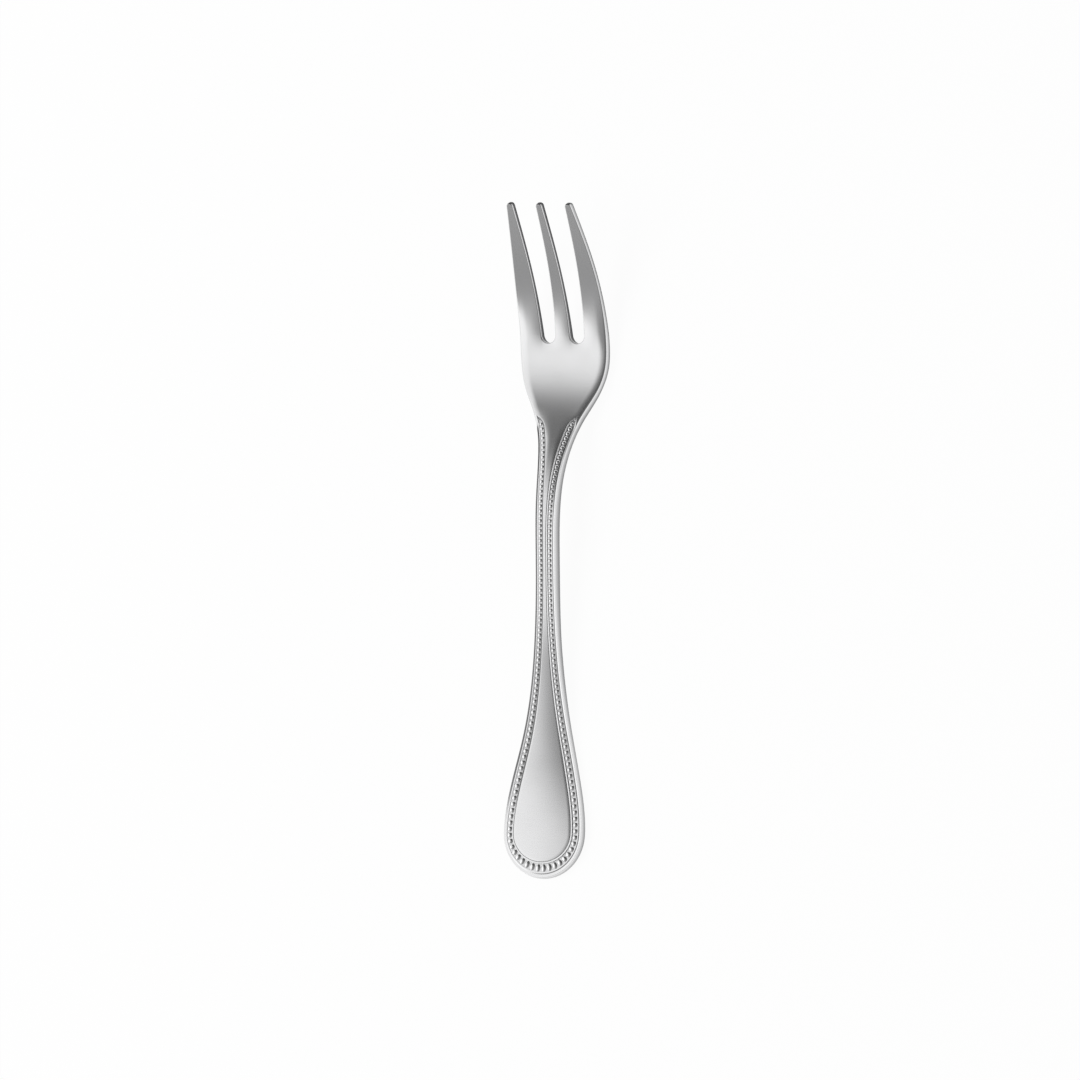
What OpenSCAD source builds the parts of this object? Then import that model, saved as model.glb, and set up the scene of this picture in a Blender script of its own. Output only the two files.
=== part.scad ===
// Cake fork with three tines, a shallow bowl, a slim stem and a flared handle with a beaded border.
// X runs across the fork, Y from the handle's end to the tine tips, and Z up from the table it lies on.
// A station is a distance along the fork, measured from the handle's end.

/* [Lengths] */
// Length of the whole fork
fork_length = 155; // [145:1:170]
// Tines, from the centres of the slot ends to the tips
tine_length = 29.8; // [26:0.1:34]
// Bowl, from the end of the border to the centres of the slot ends
bowl_length = 18.6; // [16:0.1:22]
// Neck, from the stem to the end of the border
neck_length = 18; // [15:0.5:22]
// Stem between the flare of the handle and the neck
stem_length = 30; // [24:0.5:36]
// Flat part of the handle that lies on the table
flat_length = 27; // [22:0.5:32]

/* [Widths] */
// Handle at its round end
handle_width = 21; // [18:0.1:23]
// Handle a quarter of the way up its flare
flare_low_width = 17.5; // [15:0.1:19]
// Handle half way up its flare
flare_mid_width = 11.4; // [9.5:0.1:13]
// Stem at its slimmest
stem_width = 5.3; // [4.8:0.1:6]
// Stem at both of its ends
stem_end_width = 5.8; // [5.2:0.1:6.6]
// Neck two thirds of the way to the end of the border
neck_width = 8.5; // [7:0.1:9]
// Neck at the end of the border
shoulder_width = 13; // [11:0.1:14]
// Bowl a third of the way to the slots
bowl_entry_width = 19.8; // [17.5:0.1:21]
// Bowl at its widest
head_width = 23.3; // [21:0.1:25]
// Across the tines at half of their length
tine_mid_spread = 21.6; // [19:0.1:22.5]
// Across the tine tips
tip_spread = 17.1; // [15.5:0.1:18.5]

/* [Tines] */
// Middle tine at its root
middle_root_width = 4; // [3.4:0.1:4.6]
// Slot between two tines at its round end
slot_width = 3.7; // [3.3:0.1:4.2]
// Each tine at its tip
tip_width = 1.6; // [1.2:0.1:2]
// Corner radius of each tip
tip_radius = 0.6; // [0.3:0.05:0.8]

/* [Heights] */
// Top of the flare two thirds of the way up
flare_top = 3.35; // [2.9:0.05:3.6]
// Top of the stem where the flare ends
stem_low_top = 5.1; // [4.4:0.1:5.6]
// Top of the stem at its middle
stem_mid_top = 6.7; // [6:0.1:7.4]
// Top of the stem where the neck begins
stem_high_top = 7.5; // [6.8:0.1:8.2]
// Top of the neck at a third of its length
neck_top = 6.75; // [6.2:0.05:7.3]
// Top of the neck at the end of the border
shoulder_top = 4.05; // [3.7:0.05:4.6]
// Top of the tines at their roots
root_top = 3.3; // [2.8:0.05:3.5]
// Top of the tines at half of their length
tine_mid_top = 8.6; // [7.6:0.1:9.6]
// Top of the tines at their tips
tip_top = 16.9; // [14.5:0.1:19]
// How far the edges of the bowl stand above its middle
bowl_lift = 0.2; // [0.1:0.05:0.6]
// How far the handle's panel falls from its middle to its edges
panel_fall = 0.6; // [0.3:0.05:0.8]

/* [Thicknesses] */
// Handle
handle_thickness = 2.4; // [2:0.1:2.7]
// Stem
stem_thickness = 3.3; // [2.7:0.1:3.8]
// Neck at the end of the border
shoulder_thickness = 2.7; // [2.2:0.1:3.1]
// Bowl where it rests
bowl_thickness = 2.4; // [2.1:0.1:2.6]
// Tines at their roots
root_thickness = 1.8; // [1.5:0.1:2.1]
// Tine tips
tip_thickness = 1.2; // [0.9:0.1:1.5]
// Depth of the flat worn on the bowl's underside where it rests
rest_depth = 0.08; // [0.04:0.01:0.15]

/* [Border] */
// Outer rim at the handle's end
rim_width = 1.05; // [0.8:0.05:1.2]
// Bead at the handle's end
bead_diameter = 1.25; // [1.05:0.05:1.35]
// Height of a bead at the handle's end
bead_height = 0.36; // [0.25:0.01:0.5]
// Distance from bead to bead at the handle's end
bead_pitch = 1.45; // [1.35:0.05:1.8]
// Fine thread at the handle's end
thread_width = 0.32; // [0.25:0.01:0.45]
// Space between the rim and the beads
rim_gap = 0.12; // [0.08:0.02:0.2]
// Space between the beads and the thread
thread_gap = 0.06; // [0.04:0.01:0.12]
// Depth of the border's floor below the panel's edge
border_depth = 0.4; // [0.3:0.05:0.55]
// Rim and thread above the border's floor
moulding_height = 0.48; // [0.35:0.01:0.6]
// Smooth panel left between the threads along the stem
stem_panel_width = 0.9; // [0.6:0.1:1.2]
// Length over which the border closes at the neck
closing_length = 2.7; // [2:0.1:3.5]
// Clearance under the rim, the beads and the thread
seat_gap = 0.02; // [0.01:0.01:0.05]

/* [Hidden] */
$fn = 64;
steel = "gainsboro";
bright_steel = "whitesmoke";
shaded_steel = "silver";

// Stations along the fork
end_radius = handle_width / 2;
s_end = end_radius;
s_root = fork_length - tine_length;
s_shoulder = s_root - bowl_length;
s_neck = s_shoulder - neck_length;
s_stem = s_neck - stem_length;
s_flare = (s_end + s_stem) / 2;
s_rest = s_shoulder + 0.62 * bowl_length;
s_widest = s_shoulder + 0.95 * bowl_length;
s_tine_mid = s_root + tine_length / 2;

// Border measured inwards from the outer edge, at the handle's end
bead_inset = rim_width + rim_gap + bead_diameter / 2;
thread_inset = rim_width + rim_gap + bead_diameter + thread_gap;
border_width = thread_inset + thread_width;
stem_share = (stem_width - stem_panel_width) / (2 * border_width);
s_closing = s_shoulder - closing_length;

// Cubic spline: level at its first point, straight at its last, with even bending in between
function gap(p, i) = p[i + 1][0] - p[i][0];
function rise(p, i) = (p[i + 1][1] - p[i][1]) / gap(p, i);
function bend_row(p, i) =
    i == 0 ? [0, 2 * gap(p, 0), gap(p, 0), 6 * rise(p, 0)] :
    i == len(p) - 1 ? [0, 1, 0, 0] :
    [gap(p, i - 1), 2 * (gap(p, i - 1) + gap(p, i)), gap(p, i), 6 * (rise(p, i) - rise(p, i - 1))];
function sweep_down(p, i = 0, done = []) =
    i == len(p) ? done :
    let (
        row = bend_row(p, i),
        above = i == 0 ? [0, 0] : done[i - 1],
        pivot = row[1] - row[0] * above[0]
    )
    sweep_down(p, i + 1, concat(done, [[row[2] / pivot, (row[3] - row[0] * above[1]) / pivot]]));
function sweep_up(rows, i, done = []) =
    i < 0 ? done :
    let (below = len(done) == 0 ? 0 : done[0])
    sweep_up(rows, i - 1, concat([rows[i][1] - rows[i][0] * below], done));
function spline(p) = [p, sweep_up(sweep_down(p), len(p) - 1)];
function span(p, s, i = 0) = i >= len(p) - 2 || s < p[i + 1][0] ? i : span(p, s, i + 1);
function at(curve, s) =
    let (
        p = curve[0],
        m = curve[1],
        i = span(p, s),
        h = gap(p, i),
        a = (p[i + 1][0] - s) / h,
        b = 1 - a
    )
    a * p[i][1] + b * p[i + 1][1] + ((a * a * a - a) * m[i] + (b * b * b - b) * m[i + 1]) * h * h / 6;
function ease(t) = let (c = min(1, max(0, t))) c * c * (3 - 2 * c);

// Half of the outline's width
width_curve = spline([
    [s_end, handle_width / 2],
    [s_end + (s_stem - s_end) / 4, flare_low_width / 2],
    [s_flare, flare_mid_width / 2],
    [s_stem, stem_end_width / 2],
    [(s_stem + s_neck) / 2, stem_width / 2],
    [s_neck, stem_end_width / 2],
    [s_neck + neck_length * 2 / 3, neck_width / 2],
    [s_shoulder, shoulder_width / 2],
    [s_shoulder + bowl_length / 3, bowl_entry_width / 2],
    [s_widest, head_width / 2],
    [s_tine_mid, tine_mid_spread / 2],
    [fork_length, tip_spread / 2]
]);
function half(s) = at(width_curve, s);
function half_slope(s) = (half(s + 0.1) - half(s - 0.1)) / 0.2;

// Thickness in the middle and at the edge, and how far and how sharply the underside turns up to the edge
thickness_curve = spline([
    [flat_length, handle_thickness],
    [s_stem, stem_thickness],
    [s_neck, stem_thickness],
    [s_shoulder, shoulder_thickness],
    [s_rest, bowl_thickness],
    [s_root, root_thickness],
    [fork_length, tip_thickness]
]);
function thickness(s) = s < flat_length ? handle_thickness : at(thickness_curve, s);
function stem_weight(s) =
    ease((s - flat_length) / (s_stem - flat_length)) * ease((s_rest - s) / (s_rest - s_neck));
function edge_share(s) = 0.9 - 0.22 * stem_weight(s);
function belly_power(s) = 5 - 2.6 * stem_weight(s);
function flat_share(s) = 0.42 * (1 - stem_weight(s));

// Height of the underside along the middle line, from the heights of the top
function under_point(s, height) = [s, height - thickness(s)];
under_curve = spline([
    [flat_length, 0],
    under_point(s_end + (s_stem - s_end) * 2 / 3, flare_top),
    under_point(s_stem, stem_low_top),
    under_point((s_stem + s_neck) / 2, stem_mid_top),
    under_point(s_neck, stem_high_top),
    under_point(s_neck + neck_length / 3, neck_top),
    under_point(s_shoulder, shoulder_top),
    [s_rest, -rest_depth],
    under_point(s_root, root_top),
    under_point(s_tine_mid, tine_mid_top),
    under_point(fork_length, tip_top)
]);
function under(s) = s < flat_length ? 0 : at(under_curve, s);
function top(s) = under(s) + thickness(s);
function top_angle(s) = atan((top(s + 0.1) - top(s - 0.1)) / 0.2);

// Height of the outline's edges over the middle line: below it on the handle, above it in the bowl
lift_curve = spline([
    [s_end, -panel_fall],
    [s_stem, -panel_fall / 8],
    [s_neck, -panel_fall / 8],
    [s_shoulder, bowl_lift / 8],
    [s_rest, bowl_lift],
    [s_root, bowl_lift * 0.8],
    [fork_length, 0]
]);
function lift(s) = at(lift_curve, s);
function top_at(x, s) = let (u = x / half(s)) top(s) + lift(s) * u * u;

// Underside at a share u of the half width: flat or parallel to the top, turned up towards the edge
function under_at(u, s) =
    let (
        t = thickness(s),
        n = belly_power(s),
        flat = flat_share(s),
        outer = max(0, u - flat) / (1 - flat),
        turn = 1 - pow(max(0, 1 - pow(outer, n)), 1 / n)
    )
    under(s) + max(0, lift(s)) * u * u + t * (1 - edge_share(s)) * turn;
under_shares = [1, 0.985, 0.95, 0.88, 0.77, 0.62, 0.42];

// Border: its share of full size, its stretch on slanting edges and its closing at the neck
function border_share(s) = stem_share + (1 - stem_share) * ease((s_stem - s) / (s_stem - s_end));
function stretch(s) = let (m = s < s_end + 0.1 ? 0 : half_slope(s)) sqrt(1 + m * m);
function closing(s) = let (c = (s - s_closing) / closing_length) c <= 0 ? 1 : sqrt(max(0, 1 - c * c));
function border_x(s, inset) = half(s) - inset * border_share(s) * stretch(s);
function panel_x(s) = border_x(s, max(rim_width, border_width * closing(s)));
function floor_z(s) = top_at(panel_x(s), s) - border_depth;

// Right half of a section through the handle, from the middle of the top to the middle of the underside
panel_shares = [0.3, 0.55, 0.8, 1];
function handle_half(s) =
    let (w = half(s), p = panel_x(s), z = floor_z(s))
    concat(
        [[0, top(s)]],
        [for (u = panel_shares) [p * u, top_at(p * u, s)]],
        [[p, z], [w, z]],
        [for (u = under_shares) [w * u, under_at(u, s)]]
    );
function handle_loop(s) = both_halves(handle_half(s), s);

// A closed section at a station, from its right half and the mirror image of it
function both_halves(right, s) = [
    for (q = right) [q[0], s - fork_length / 2, q[1]],
    for (i = [len(right) - 1:-1:1]) if (right[i][0] > 0) [-right[i][0], s - fork_length / 2, right[i][1]]
];

// A solid through a row of closed sections that run clockwise when seen along +Y
module loft(loops) {
    n = len(loops[0]);
    last = (len(loops) - 1) * n;
    sides = [
        for (r = [0:len(loops) - 2])
            for (k = [0:n - 1])
                let (a = r * n + k, b = r * n + (k + 1) % n)
                    each [[a, a + n, b + n], [a, b + n, b]]
    ];
    near = [for (k = [0:n - 1]) k];
    far = [for (k = [n - 1:-1:0]) last + k];
    polyhedron([for (loop = loops) each loop], concat([near, far], sides));
}

function steps(a, b, count) = [for (i = [0:count]) a + (b - a) * i / count];
closing_steps = [for (i = [1:6]) s_closing + closing_length * sin(90 * i / 6)];
neck_steps = concat(steps(s_neck, s_closing, 10), closing_steps);

// Section of the bowl with its edges eased
bowl_shares = [0.2, 0.4, 0.6, 0.78, 0.9];
edge_ease = 0.25;
function bowl_half(s) =
    let (w = half(s), e = edge_ease)
    concat(
        [[0, top(s)]],
        [for (u = bowl_shares) [w * u, top_at(w * u, s)]],
        [[w - e, top_at(w - e, s)], [w, top_at(w, s) - e]],
        [for (u = concat(under_shares, [0.2, 0])) [w * u, under_at(u, s)]]
    );

slot_x = (middle_root_width + slot_width) / 2;
side_root_x = middle_root_width / 2 + slot_width;
function along(s) = (s - s_root) / tine_length;

// Outline of a section of a tine between two distances from the middle line
tine_shares = [0.25, 0.5, 0.75];
function tine_outline(x0, x1, s) =
    let (
        t = thickness(s),
        e = min(edge_ease, (x1 - x0) / 4, t / 4),
        z0 = top_at(x0, s),
        z1 = top_at(x1, s)
    )
    concat(
        [[x0, z0 - e], [x0 + e, z0]],
        [for (u = tine_shares) let (x = x0 + e + (x1 - x0 - 2 * e) * u) [x, top_at(x, s)]],
        [[x1 - e, z1], [x1, z1 - e], [x1, z1 - t + e], [x1 - e, z1 - t]],
        [for (u = tine_shares) let (x = x1 - e - (x1 - x0 - 2 * e) * u) [x, top_at(x, s) - t]],
        [[x0 + e, z0 - t], [x0, z0 - t + e]]
    );

// The section leans back along the tine, until the tip is cut square to its own direction
function tine_loop(x0, x1, s) =
    let (lean = sin(top_angle(s)) * along(s), y = s - fork_length / 2)
    [for (q = tine_outline(x0, x1, s)) [q[0], y - lean * (q[1] - under(s)), q[1]]];

tip_corner = min(tip_radius, 0.4 * tip_width);
function tip_inset(s) =
    let (d = max(0, tip_corner - (fork_length - s)))
    tip_corner - sqrt(tip_corner * tip_corner - d * d);
function middle_x(s) = (middle_root_width + (tip_width - middle_root_width) * along(s)) / 2;
function inner_x(s) = side_root_x + (tip_spread / 2 - tip_width - side_root_x) * along(s);
tip_steps = [for (i = [1:4]) fork_length - tip_corner * (1 - sin(90 * i / 4))];
tine_steps = concat(steps(s_root, fork_length - tip_corner, 18), tip_steps);

module tine_right() color(steel)
    loft([for (s = tine_steps) tine_loop(inner_x(s) + tip_inset(s), half(s) - tip_inset(s), s)]);

module tine_left() color(steel) mirror([1, 0, 0])
    loft([for (s = tine_steps) tine_loop(inner_x(s) + tip_inset(s), half(s) - tip_inset(s), s)]);

module tine_middle() color(steel)
    loft([for (s = tine_steps) let (x = middle_x(s) - tip_inset(s)) tine_loop(-x, x, s)]);

// Bowl with the round ends of both slots cut out, and a small flat where it rests
module bowl() color(steel) difference() {
    loft([for (s = steps(s_shoulder, s_root, 14)) both_halves(bowl_half(s), s)]);
    for (side = [-1, 1])
        translate([side * slot_x, s_root - fork_length / 2, 0])
            cylinder(d = slot_width, h = tip_top);
    translate([-head_width / 2, -fork_length / 2, -bowl_thickness])
        cube([head_width, fork_length, bowl_thickness]);
}

module neck() color(shaded_steel) loft([for (s = neck_steps) handle_loop(s)]);

module stem() color(shaded_steel) loft([for (s = steps(s_stem, s_neck, 14)) handle_loop(s)]);

module handle() color(steel) loft([for (s = steps(s_end, s_stem, 26)) handle_loop(s)]);

// Half turn of a profile about the middle of the handle's round end
module round_end() translate([0, s_end - fork_length / 2, 0]) rotate([0, 0, 180])
    rotate_extrude(angle = 180) children();

module handle_end() color(steel) round_end()
    polygon(concat(handle_half(s_end), [[0, under(s_end)]]));

// Half-round moulding between two distances from the middle line, on the border's floor
function moulding(x0, x1, s) =
    let (
        z = floor_z(s) + seat_gap,
        h = moulding_height * border_share(s),
        wall = h / 3
    )
    concat(
        [[x0, z]],
        [for (a = [180:-36:0]) [(x0 + x1) / 2 + (x1 - x0) / 2 * cos(a), z + wall + (h - wall) * sin(a)]],
        [[x1, z]]
    );
function at_station(profile, s) = [for (q = profile) [q[0], s - fork_length / 2, q[1]]];
function rim_profile(s) = moulding(border_x(s, rim_width), half(s), s);
function thread_profile(s) = moulding(panel_x(s), panel_x(s) + thread_width * border_share(s), s);

rim_steps = concat(steps(s_end, s_neck, 40), [for (s = steps(s_neck, s_shoulder, 12)) if (s > s_neck) s]);

// The thread stops where the closing border brings it to the rim
thread_room = (rim_width + rim_gap + thread_width) / border_width;
s_thread = s_closing + closing_length * sqrt(1 - thread_room * thread_room);
thread_steps = concat(
    steps(s_end, s_closing, 46),
    [for (i = [1:5]) s_closing + (s_thread - s_closing) * sin(90 * i / 5)]
);

module rim_right() color(shaded_steel) loft([for (s = rim_steps) at_station(rim_profile(s), s)]);

module rim_left() color(shaded_steel) mirror([1, 0, 0]) rim_right();

module rim_end() color(shaded_steel) round_end() polygon(rim_profile(s_end));

module thread_right() color(bright_steel) loft([for (s = thread_steps) at_station(thread_profile(s), s)]);

module thread_left() color(bright_steel) mirror([1, 0, 0]) thread_right();

module thread_end() color(bright_steel) round_end() polygon(thread_profile(s_end));

// Stations of the beads along one side, spaced by the border's share of the full pitch
s_last_bead = s_closing + closing_length / 4;
function bead_stations(s, done = []) =
    s > s_last_bead ? done :
    bead_stations(s + bead_pitch * border_share(s) / stretch(s), concat(done, [s]));
bead_list = bead_stations(s_end + bead_pitch / 2);
bead_ring = end_radius - bead_inset;
bead_count = floor(PI * bead_ring / bead_pitch);

// Low dome: the cap of a larger ball
bead_ball = (bead_diameter * bead_diameter / 4 + bead_height * bead_height) / (2 * bead_height);
module bead(share) intersection() {
    translate([0, 0, (bead_height - bead_ball) * share]) sphere(r = bead_ball * share);
    translate([-bead_diameter, -bead_diameter, 0])
        cube([2 * bead_diameter, 2 * bead_diameter, bead_diameter]);
}

module beads_right() color(bright_steel)
    for (s = bead_list)
        translate([border_x(s, bead_inset), s - fork_length / 2, floor_z(s) + seat_gap])
            rotate([top_angle(s), 0, 0]) bead(border_share(s));

module beads_left() color(bright_steel) mirror([1, 0, 0]) beads_right();

module beads_end() color(bright_steel)
    for (i = [0:bead_count - 1])
        translate([0, s_end - fork_length / 2, floor_z(s_end) + seat_gap])
            rotate([0, 0, -180 * (i + 0.5) / bead_count]) translate([bead_ring, 0, 0]) bead(1);

tine_left();
tine_middle();
tine_right();
bowl();
neck();
stem();
handle();
handle_end();
rim_left();
rim_right();
rim_end();
beads_left();
beads_right();
beads_end();
thread_left();
thread_right();
thread_end();
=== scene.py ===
"""Cake fork with a beaded border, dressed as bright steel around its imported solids.

Every piece is a surface that follows the same curves along the fork: half width, thickness, height of
the underside and lift of the edges. A station is a distance in metres from the handle's end. Across is X,
along is Y and up is Z.
"""
import math

import bpy
import numpy as np
from bpy.props import FloatProperty, FloatVectorProperty, PointerProperty
from mathutils import Matrix, Vector


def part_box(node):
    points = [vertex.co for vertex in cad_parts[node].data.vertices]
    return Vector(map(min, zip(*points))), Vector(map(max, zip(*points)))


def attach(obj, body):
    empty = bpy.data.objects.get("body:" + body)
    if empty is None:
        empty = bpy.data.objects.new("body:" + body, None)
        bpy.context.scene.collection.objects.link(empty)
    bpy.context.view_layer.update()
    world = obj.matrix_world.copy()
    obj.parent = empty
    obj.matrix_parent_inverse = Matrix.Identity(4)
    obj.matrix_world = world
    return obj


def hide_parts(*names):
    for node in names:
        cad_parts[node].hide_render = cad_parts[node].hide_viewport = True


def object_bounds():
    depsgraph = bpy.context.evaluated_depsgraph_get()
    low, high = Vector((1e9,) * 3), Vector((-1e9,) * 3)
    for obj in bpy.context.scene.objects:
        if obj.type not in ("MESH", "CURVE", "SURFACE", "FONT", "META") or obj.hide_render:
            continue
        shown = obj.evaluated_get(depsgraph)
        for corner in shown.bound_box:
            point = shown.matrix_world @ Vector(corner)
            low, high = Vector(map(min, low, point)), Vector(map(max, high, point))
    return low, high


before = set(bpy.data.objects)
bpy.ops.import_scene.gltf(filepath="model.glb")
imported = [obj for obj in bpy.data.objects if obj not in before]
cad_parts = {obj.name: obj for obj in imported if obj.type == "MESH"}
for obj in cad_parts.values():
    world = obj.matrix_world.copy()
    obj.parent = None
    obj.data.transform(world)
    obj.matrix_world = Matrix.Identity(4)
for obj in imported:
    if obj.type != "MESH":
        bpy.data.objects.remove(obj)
cad_low, cad_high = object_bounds()

bl_info = {
    "name": "Cake fork",
    "version": (1, 0, 0),
    "blender": (4, 5, 0),
    "location": "View3D > Sidebar > Cake fork",
    "description": "Builds a cake fork with a beaded border on a pale studio floor",
    "category": "Add Mesh",
}


# Sizes and colours that a user can change

def length(name, description, default):
    """A size in metres."""
    return FloatProperty(name=name, description=description, default=default, unit="LENGTH", precision=5)


def share(name, description, default):
    """A plain number, such as a share of something or a strength."""
    return FloatProperty(name=name, description=description, default=default, precision=3)


def angle(name, description, degrees):
    """An angle, kept in radians and shown in degrees."""
    return FloatProperty(name=name, description=description, default=math.radians(degrees), subtype="ANGLE")


def colour(name, description, default):
    """A colour in linear light."""
    return FloatVectorProperty(
        name=name, description=description, default=default, subtype="COLOR", size=3, min=0.0, max=1.0
    )


def far_end(node):
    """Distance from the handle's end to the far end of a CAD node."""
    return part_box(node)[1].y - cad_low.y


def node_width(node):
    """Width of a CAD node across the fork."""
    low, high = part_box(node)
    return high.x - low.x


class ForkSizes(bpy.types.PropertyGroup):
    """Stations, widths, heights and thicknesses of the whole fork."""

    fork_length: length("Fork length", "From the handle's end to the tine tips", cad_high.y - cad_low.y)
    end_station: length("Round end", "Middle of the handle's round end", far_end("handle_end"))
    flat_station: length("Flat", "Part of the handle that lies on the table", 0.027)
    stem_station: length("Stem begins", "Where the flare of the handle ends", far_end("handle"))
    neck_station: length("Neck begins", "Where the stem ends", far_end("stem"))
    shoulder_station: length("Shoulder", "Where the border ends and the bowl begins", far_end("neck"))
    root_station: length("Tine roots", "Middles of the slot ends", far_end("bowl"))

    handle_width: length("Handle width", "At the round end", node_width("handle_end"))
    flare_low_width: length("Lower flare width", "A quarter of the way up the flare", 0.0174)
    flare_mid_width: length("Middle flare width", "Half way up the flare", 0.0115)
    stem_width: length("Stem width", "At its slimmest", 0.0053)
    stem_end_width: length("Stem end width", "At both ends of the stem", 0.0058)
    neck_width: length("Neck width", "Two thirds of the way to the shoulder", 0.0087)
    shoulder_width: length("Shoulder width", "At the end of the border", 0.013)
    bowl_entry_width: length("Bowl entry width", "A third of the way to the slots", 0.0198)
    head_width: length("Head width", "Bowl at its widest", 0.0233)
    tine_mid_spread: length("Tine spread", "Across the tines at half of their length", 0.0216)
    tip_spread: length("Tip spread", "Across the tine tips", 0.0171)

    flare_top: length("Flare height", "Top of the flare two thirds of the way up", 0.00335)
    stem_low_top: length("Lower stem height", "Top of the stem where the flare ends", 0.0051)
    stem_mid_top: length("Middle stem height", "Top of the stem at its middle", 0.0067)
    stem_high_top: length("Upper stem height", "Top of the stem where the neck begins", 0.0075)
    neck_top: length("Neck height", "Top of the neck at a third of its length", 0.00675)
    shoulder_top: length("Shoulder height", "Top of the neck at the end of the border", 0.00392)
    root_top: length("Root height", "Top of the tines at their roots", 0.0033)
    tine_mid_top: length("Middle tine height", "Top of the tines at half of their length", 0.0086)
    tip_top: length("Tip height", "Top of the tines at their tips", 0.0169)
    bowl_lift: length("Bowl lift", "Edges of the bowl above its middle", 0.00005)
    panel_fall: length("Panel fall", "Edges of the handle below its middle", 0.00025)

    handle_thickness: length("Handle thickness", "At the flat part", 0.0024)
    stem_thickness: length("Stem thickness", "Along the stem", 0.0033)
    shoulder_thickness: length("Shoulder thickness", "At the end of the border", 0.0027)
    bowl_thickness: length("Bowl thickness", "Where the bowl rests", 0.0024)
    root_thickness: length("Root thickness", "Tines at their roots", 0.0018)
    tip_thickness: length("Tip thickness", "At the tine tips", 0.0012)
    head_edge: length("Head edge", "Outer edges of the bowl and of the side tines", 0.0016)
    rest_depth: length("Worn flat", "Depth of the flat under the bowl", 0.00008)


class TineSizes(bpy.types.PropertyGroup):
    """Tines, slots and the rounding of the edges of the head."""

    middle_root_width: length("Middle tine", "Width of the middle tine at its root", 0.004)
    slot_width: length("Slot", "Width of a slot at its round end", 0.0037)
    tip_width: length("Tip width", "Each tine at its tip", 0.0016)
    tip_radius: length("Tip radius", "Corner of a tip seen from above", 0.0006)
    tip_ease: length("Tip ease", "Rounding between a tip's end and its faces", 0.00022)
    slot_ease: length("Slot ease", "Rounding of the top along the slots", 0.00024)
    slot_under: length("Slot underside", "Width of the underside's rounding along the slots", 0.0004)
    slot_round: share("Slot round", "Height of that rounding as a share of the thickness", 0.2)
    edge_roll: length("Edge roll", "Rounding of the bowl's outer edges", 0.0005)
    tine_roll: length("Tine roll", "Rounding of the outer edges of the side tines", 0.0002)
    roll_growth: length("Edge roll growth", "Length over which the rim turns into the rounded edge", 0.008)
    tine_growth: length("Tine roll growth", "Length over which the rounding shrinks along the tines", 0.012)
    crown: angle("Tine crown", "Slope of a tine's crown at its edges", 4.6)
    crown_start: length("Crown start", "Length below the slot ends where the crowns begin", 0.0045)
    crown_growth: length("Crown growth", "Length over which the crowns grow", 0.006)
    crown_fade: length("Crown fade", "Length beyond the slot ends over which the crowns fade", 0.009)
    soft_width: length("Soft edge", "Width over which the bowl's top falls gently to its outer edges", 0.0022)
    soft_fall: length("Soft fall", "How far it falls there", 0.00016)
    soft_start: length("Soft start", "Length before the shoulder where that fall begins", 0.004)


class BorderSizes(bpy.types.PropertyGroup):
    """Border and panel of the handle, with the widths that the border has at the handle's end."""

    rim_width: length("Rim", "Width of the outer rim", 0.00105)
    rim_rise: length("Rim rise", "Flat part of the rim above the border's floor", 0.00008)
    rim_drop: length("Rim drop", "Foot of the rim below the border's floor", 0.00035)
    rim_groove: length("Rim groove", "Step from the rim's level band down to its tilted band", 0.00009)
    band_tilt: angle("Band tilt", "How far the outer band of the rim and the thread tilt inwards", 8.0)
    tilt_return: length("Tilt return", "Length of the left side over which that tilt comes", 0.018)
    rim_gap: length("Rim gap", "Between the rim and the beads", 0.00002)
    bead_diameter: length("Bead", "Diameter of a bead", 0.0014)
    bead_height: length("Bead height", "Height of a bead over the border's floor", 0.00026)
    bead_pitch: length("Bead pitch", "From bead to bead", 0.00145)
    thread_gap: length("Thread gap", "Between the beads and the thread", 0.00001)
    thread_width: length("Thread", "Width of the fine thread", 0.00032)
    thread_height: length("Thread height", "Thread above the border's floor", 0.00026)
    depth: length("Border depth", "Floor of the border below the panel's edge", 0.00027)
    stem_panel_width: length("Stem panel", "Panel between the threads along the stem", 0.0009)
    closing_length: length("Closing length", "Length over which the border closes at the neck", 0.0027)
    rim_fade: length("Rim fade", "Length over which the rim becomes the bowl's edge", 0.0035)
    panel_round: length("Panel edge", "Rounding of the panel's edge", 0.00024)
    crown_radius: length("Neck crown", "Radius of an even crown with the slope of the panel's edges", 0.01)
    crown_spread: length("Crown spread", "Length over which that crown widens to the bowl's edges", 0.006)
    crown_end: length("Crown end", "How far beyond the shoulder that crown ends", 0.002)
    crown_run: length("Crown run", "Length over which that crown fades", 0.01)
    panel_lean: angle("Lean", "How far the handle's top leans to the right along the flare", 3.4)
    lean_start: length("Lean start", "Where the top begins to lean", 0.004)
    lean_growth: length("Lean growth", "Length over which the lean comes", 0.034)
    lean_end: length("Lean end", "Where the top is level again", 0.07)
    lean_fade: length("Lean fade", "Length over which the lean goes", 0.022)
    slant: angle("Slant", "How far the border falls away from the panel along the neck", 5.0)
    slant_start: length("Slant start", "Length before the neck where that fall begins", 0.008)
    slant_growth: length("Slant growth", "Length over which it comes", 0.014)
    wall_bulge: length("Wall bulge", "How far the side walls swell between top and underside", 0.00012)
    end_rim: length("End rim", "Extra width of the rim at the very end", 0.00045)
    end_beads: length("End beads", "Extra length of the beads at the very end", 0.00055)
    sink: length("Seat", "How deep rim, beads and thread sit in the border's floor", 0.00002)


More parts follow.
